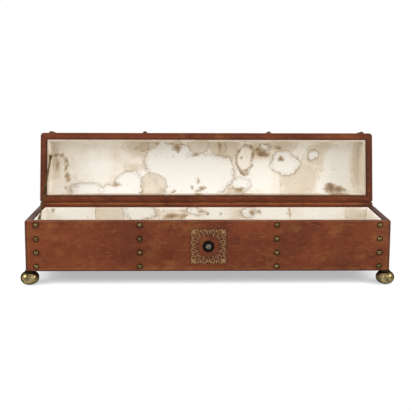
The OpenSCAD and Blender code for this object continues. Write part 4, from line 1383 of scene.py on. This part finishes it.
def screw_tree():
    """Countersunk screw heads with a slot, on points."""
    tree, given = new_tree("slotted_heads", {
        "Width": 6 * MM, "Slot": 0.9 * MM, "Depth": 0.8 * MM, "Seed": sizes().seed,
    })
    half = add(tree, "ShaderNodeMath", {0: given["Width"], 1: 0.5}, operation="MULTIPLY")
    cone = add(
        tree, "GeometryNodeMeshCone",
        {"Vertices": 28, "Radius Top": 1.5 * MM, "Depth": 1.5 * MM, "Radius Bottom": half},
    )
    head = add(tree, "GeometryNodeTransform", {"Rotation": (math.pi, 0, 0), "Geometry": cone})
    shank = add(tree, "GeometryNodeMeshCylinder", {"Vertices": 12, "Radius": 1.4 * MM, "Depth": 8 * MM})
    lowered = add(tree, "GeometryNodeTransform", {"Translation": (0, 0, -5.5 * MM), "Geometry": shank})
    cutter_size = add(tree, "ShaderNodeCombineXYZ", {"X": 20 * MM, "Y": given["Slot"], "Z": given["Depth"]})
    cutter = add(tree, "GeometryNodeMeshCube", {"Size": cutter_size})
    slotted = add(
        tree, "GeometryNodeMeshBoolean", {"Mesh 1": head, "Mesh 2": cutter}, operation="DIFFERENCE",
        solver="EXACT",
    )
    screw = add(tree, "GeometryNodeJoinGeometry", {"Geometry": [slotted, lowered]})
    # Each slot ends at its own angle, up to half a turn round
    spin = add(tree, "FunctionNodeRandomValue", {3: 3.14, "Seed": given["Seed"]}, data_type="FLOAT")
    about = add(tree, "ShaderNodeCombineXYZ", {"Z": spin.outputs[1]})
    placed = stood(tree, given["Geometry"], screw)
    spun = add(tree, "GeometryNodeRotateInstances", {"Instances": placed, "Rotation": about})
    return end_tree(tree, spun, "aged_brass")


def screw_places(mesh, facing):
    """The middle of each screw head's flat in a CAD node."""
    points = np.array([v.co for v in mesh.vertices])
    along = points @ np.array(facing)
    places = []
    for p in points[along > along.max() - 0.05 * MM]:
        for group in places:
            if np.linalg.norm(group[0] - p) < 6.5 * MM:
                group.append(p)
                break
        else:
            places.append([p])
    return [Vector((np.min(g, 0) + np.max(g, 0)) / 2) for g in places]


class OBJECT_OT_leather_box_hinges(bpy.types.Operator):
    """Finishes the hinges and gives their screws slotted heads"""

    bl_idname = "object.leather_box_hinges"
    bl_label = "Hinges"

    def execute(self, context):
        for node in ("left_hinge_base_leaf", "right_hinge_base_leaf", "left_hinge_lid_leaf",
                     "right_hinge_lid_leaf", "hinge_pins"):
            finish_node(node, "aged_brass")
        tree = screw_tree()
        backward = Vector((0, 1, 0))
        for body, facing in (("base", backward), ("lid", SWING.to_3x3() @ backward)):
            node = body + "_hinge_screws"
            places = screw_places(frame["nodes"][node].data, facing)
            sunk = [(place - facing * 0.75 * MM, facing) for place in places]
            heads = points_object(body + "_hinge_screw_heads", sunk)
            put_tree(heads, tree)
            seat(flattened(heads), body, [node])
        return {"FINISHED"}


class OBJECT_OT_leather_box_hinge_strip(bpy.types.Operator):
    """Lays the creased leather strip over the hinge line, from the base's back to the lid's"""

    bl_idname = "object.leather_box_hinge_strip"
    bl_label = "Hinge strip"

    def execute(self, context):
        low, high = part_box("hinge_strip")
        half_x = high.x
        reach = PIN.z - low.z
        radius = PIN.y - CASE_HIGH.y
        # The strip's section round the pin, as (y, z): up the base, round the bend and along the lid
        flat, bend = 14, 18
        path = [(CASE_HIGH.y - PIN.y, -reach * (1 - k / flat)) for k in range(flat)]
        for k in range(bend + 1):
            a = math.pi - OPEN_ANGLE * k / bend
            path.append((radius * math.cos(a), radius * math.sin(a)))
        y, z = path[-1]
        path += [(y + math.sin(a) * reach * k / flat, z - math.cos(a) * reach * k / flat)
                 for k in range(1, flat + 1)]
        columns, rows = 260, len(path)
        bend_middle, bend_reach, worn = flat + bend / 2, 12, 25 * MM
        points, marks = [], []
        for i in range(columns + 1):
            x = -half_x + 2 * half_x * i / columns
            soiled = 0.75 * math.exp(-(((half_x - abs(x)) / worn) ** 2))
            for k, (y, z) in enumerate(path):
                on_bend = max(0.0, 1 - abs(k - bend_middle) / bend_reach)
                ripple = noise.noise(Vector((x / (22 * MM), k * 0.4, 1))) * 0.35 * MM * on_bend
                scale = 1 + (ripple - 0.2 * MM) / math.hypot(y, z) if on_bend else 1
                points.append((x, PIN.y + y * scale, PIN.z + z * scale))
                marks += (0.6 * on_bend, max(0.2 * on_bend, soiled), 0.0, 1.0)
        starts = [i * rows + k for i in range(columns) for k in range(rows - 1)]
        faces = [(a, a + rows, a + rows + 1, a + 1) for a in starts]
        strip = make_object("hinge_leather_strip", points, faces, "red_leather")
        keep_on_points(strip.data, "marks", "FLOAT_COLOR", "color", marks)
        point_outwards(strip)
        thick = strip.modifiers.new("leather", "SOLIDIFY")
        thick.thickness = 1.0 * MM
        inside = strip.data.polygons[len(strip.data.polygons) // 2]
        away = (inside.center - Vector((inside.center.x, PIN.y, PIN.z))).dot(inside.normal)
        thick.offset = -1 if away > 0 else 1
        flattened(strip)
        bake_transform(strip)
        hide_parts("hinge_strip")
        return {"FINISHED"}


class OBJECT_OT_leather_box_hidden(bpy.types.Operator):
    """Finishes the boards and fixings that the leather and lining hide"""

    bl_idname = "object.leather_box_hidden"
    bl_label = "Hidden pieces"

    def execute(self, context):
        for node in frame["nodes"]:
            if node.endswith("_board"):
                finish_node(node, "sawn_wood")
            elif node in ("foot_studs", "boss_screw"):
                finish_node(node, "plain_steel")
        return {"FINISHED"}


# Stage


def look_matrix(place, forward, roll=0.0):
    """A matrix that puts a camera or lamp at a place, looking forward."""
    f = Vector(forward).normalized()
    r = f.cross(Vector((0, 0, 1))).normalized()
    u = r.cross(f)
    r, u = r * math.cos(roll) + u * math.sin(roll), u * math.cos(roll) - r * math.sin(roll)
    return Matrix.Translation(place) @ Matrix((r, u, -f)).transposed().to_4x4()


def seen_ray(tree):
    """1 where a ray shows the surround: to the camera, in gloss and through glass."""
    path = add(tree, "ShaderNodeLightPath").outputs
    seen = path["Is Camera Ray"]
    for kind in ("Is Glossy Ray", "Is Transmission Ray"):
        seen = add(tree, "ShaderNodeMath", {0: seen, 1: path[kind]}, operation="MAXIMUM")
    return seen


# The softboxes: name, place, what they face, width, height and watts
LAMPS = (
    ("left_softbox", (-1.5, -0.5, 0.85), (0, 0, 0.12), 0.6, 0.6, 9),
    ("right_softbox", (1.5, -0.5, 0.85), (0, 0, 0.12), 0.6, 0.6, 9.8),
    ("front_left_softbox", (-0.75, -1.45, 1.1), (0, 0, 0.12), 0.5, 0.5, 2.4),
    ("front_right_softbox", (0.75, -1.45, 1.1), (0, 0, 0.12), 0.5, 0.5, 2.4),
    ("top_softbox", (0, 0.06, 1.6), (0, -0.06, 0.1), 1.4, 0.5, 2.8),
)


class OBJECT_OT_leather_box_stage(bpy.types.Operator):
    """Sets up the camera, the lamps, the floor and the white surround"""

    bl_idname = "object.leather_box_stage"
    bl_label = "Stage"

    def execute(self, context):
        scene = context.scene
        scene.view_settings.view_transform = "Standard"
        # The camera was fitted to the corners of the case in a square picture of 416 pixels
        picture, focal, middle_v = 416.0, 759.68, 142.0
        yaw, pitch, roll = 0.0210, 0.1213, 0.0042
        data = bpy.data.cameras.new("camera")
        data.sensor_fit = "HORIZONTAL"
        data.sensor_width = 36.0
        data.lens = focal / picture * data.sensor_width
        data.shift_y = (middle_v - picture / 2) / picture
        data.clip_end = 30.0
        place = Vector((-32.45 * MM, CASE_LOW.y - 1457.26 * MM, RIM_Z + 333.50 * MM))
        forward = (math.sin(yaw) * math.cos(pitch), math.cos(yaw) * math.cos(pitch), -math.sin(pitch))
        scene.camera = new_object("camera", data)
        scene.camera.matrix_world = look_matrix(place, forward, roll)

        for name, place, target, width, height, power in LAMPS:
            data = bpy.data.lights.new(name, "AREA")
            data.shape = "RECTANGLE"
            data.size, data.size_y = width, height
            data.energy = power
            new_object(name, data).matrix_world = look_matrix(place, Vector(target) - Vector(place))

        world = bpy.data.worlds.new("surround")
        scene.world = world
        world.use_nodes = True
        tree = world.node_tree
        tree.nodes.clear()
        fill = add(tree, "ShaderNodeBackground", {"Color": (1, 1, 1, 1), "Strength": 0.78})
        white = add(tree, "ShaderNodeBackground", {"Color": (1, 1, 1, 1), "Strength": 1.0})
        mix = add(tree, "ShaderNodeMixShader", {0: seen_ray(tree), 1: fill, 2: white})
        add(tree, "ShaderNodeOutputWorld", {"Surface": mix})

        floor = bpy.data.meshes.new("floor")
        reach = 8.0
        corners = [(x * reach, y * reach, 0) for x, y in ((-1, -1), (1, -1), (1, 1), (-1, 1))]
        floor.from_pydata(corners, [], [(0, 1, 2, 3)])
        floor.materials.append(self.floor_material())
        new_object("floor", floor)
        return {"FINISHED"}

    def floor_material(self):
        """Matt white paper: it keeps the shadow, and is lifted to white where the camera sees it."""
        made, tree, place = new_material("paper_floor")
        seen = seen_ray(tree)
        paper = add(tree, "ShaderNodeBsdfDiffuse", {"Color": (0.8, 0.8, 0.8, 1)})
        lift = add(tree, "ShaderNodeMath", {0: seen, 1: 0.4}, operation="MULTIPLY")
        glow = add(tree, "ShaderNodeEmission", {"Color": (0.95, 1, 1.03, 1), "Strength": lift})
        both = add(tree, "ShaderNodeAddShader", {0: paper, 1: glow})
        # Away from the box the paper runs out into the white surround
        margin = 240 * MM
        near = nearness(tree, place, (0, CENTRE_Y, 0), (HALF_X + margin, HALF_Y + margin, 1))
        fade = add(
            tree, "ShaderNodeMapRange", {"From Min": 0.05, "From Max": 0.3, "Value": near},
            interpolation_type="SMOOTHSTEP",
        )
        hidden = add(tree, "ShaderNodeMath", {0: seen, 1: fade}, operation="SUBTRACT")
        gone = add(tree, "ShaderNodeMath", {0: hidden, 1: 0.0}, operation="MAXIMUM")
        clear = add(tree, "ShaderNodeBsdfTransparent")
        mixed = add(tree, "ShaderNodeMixShader", {0: gone, 1: both, 2: clear})
        add(tree, "ShaderNodeOutputMaterial", {"Surface": mixed})
        return made


OPERATORS = (
    OBJECT_OT_leather_box_stage,
    OBJECT_OT_leather_box_base_leather,
    OBJECT_OT_leather_box_lid_leather,
    OBJECT_OT_leather_box_linings,
    OBJECT_OT_leather_box_feet,
    OBJECT_OT_leather_box_boss,
    OBJECT_OT_leather_box_ornament,
    OBJECT_OT_leather_box_nails,
    OBJECT_OT_leather_box_hinges,
    OBJECT_OT_leather_box_hinge_strip,
    OBJECT_OT_leather_box_stay,
    OBJECT_OT_leather_box_hidden,
)


class VIEW3D_PT_leather_box(bpy.types.Panel):
    """Lists the steps and the sizes"""

    bl_label = "Leather Box"
    bl_space_type = "VIEW_3D"
    bl_region_type = "UI"
    bl_category = "Leather Box"

    def draw(self, context):
        for group in (context.scene.leather_box_sizes, context.scene.leather_box_colours):
            for key in group.__annotations__:
                self.layout.prop(group, key)
        for operator in OPERATORS:
            self.layout.operator(operator.bl_idname)


CLASSES = (LeatherBoxSizes, LeatherBoxColours, *OPERATORS, VIEW3D_PT_leather_box)


def register():
    for item in CLASSES:
        bpy.utils.register_class(item)
    bpy.types.Scene.leather_box_sizes = PointerProperty(type=LeatherBoxSizes)
    bpy.types.Scene.leather_box_colours = PointerProperty(type=LeatherBoxColours)


def unregister():
    del bpy.types.Scene.leather_box_colours
    del bpy.types.Scene.leather_box_sizes
    for item in reversed(CLASSES):
        bpy.utils.unregister_class(item)


def main():
    register()
    for operator in OPERATORS:
        group, name = operator.bl_idname.split(".")
        getattr(getattr(bpy.ops, group), name)()


if __name__ == "__main__":
    main()
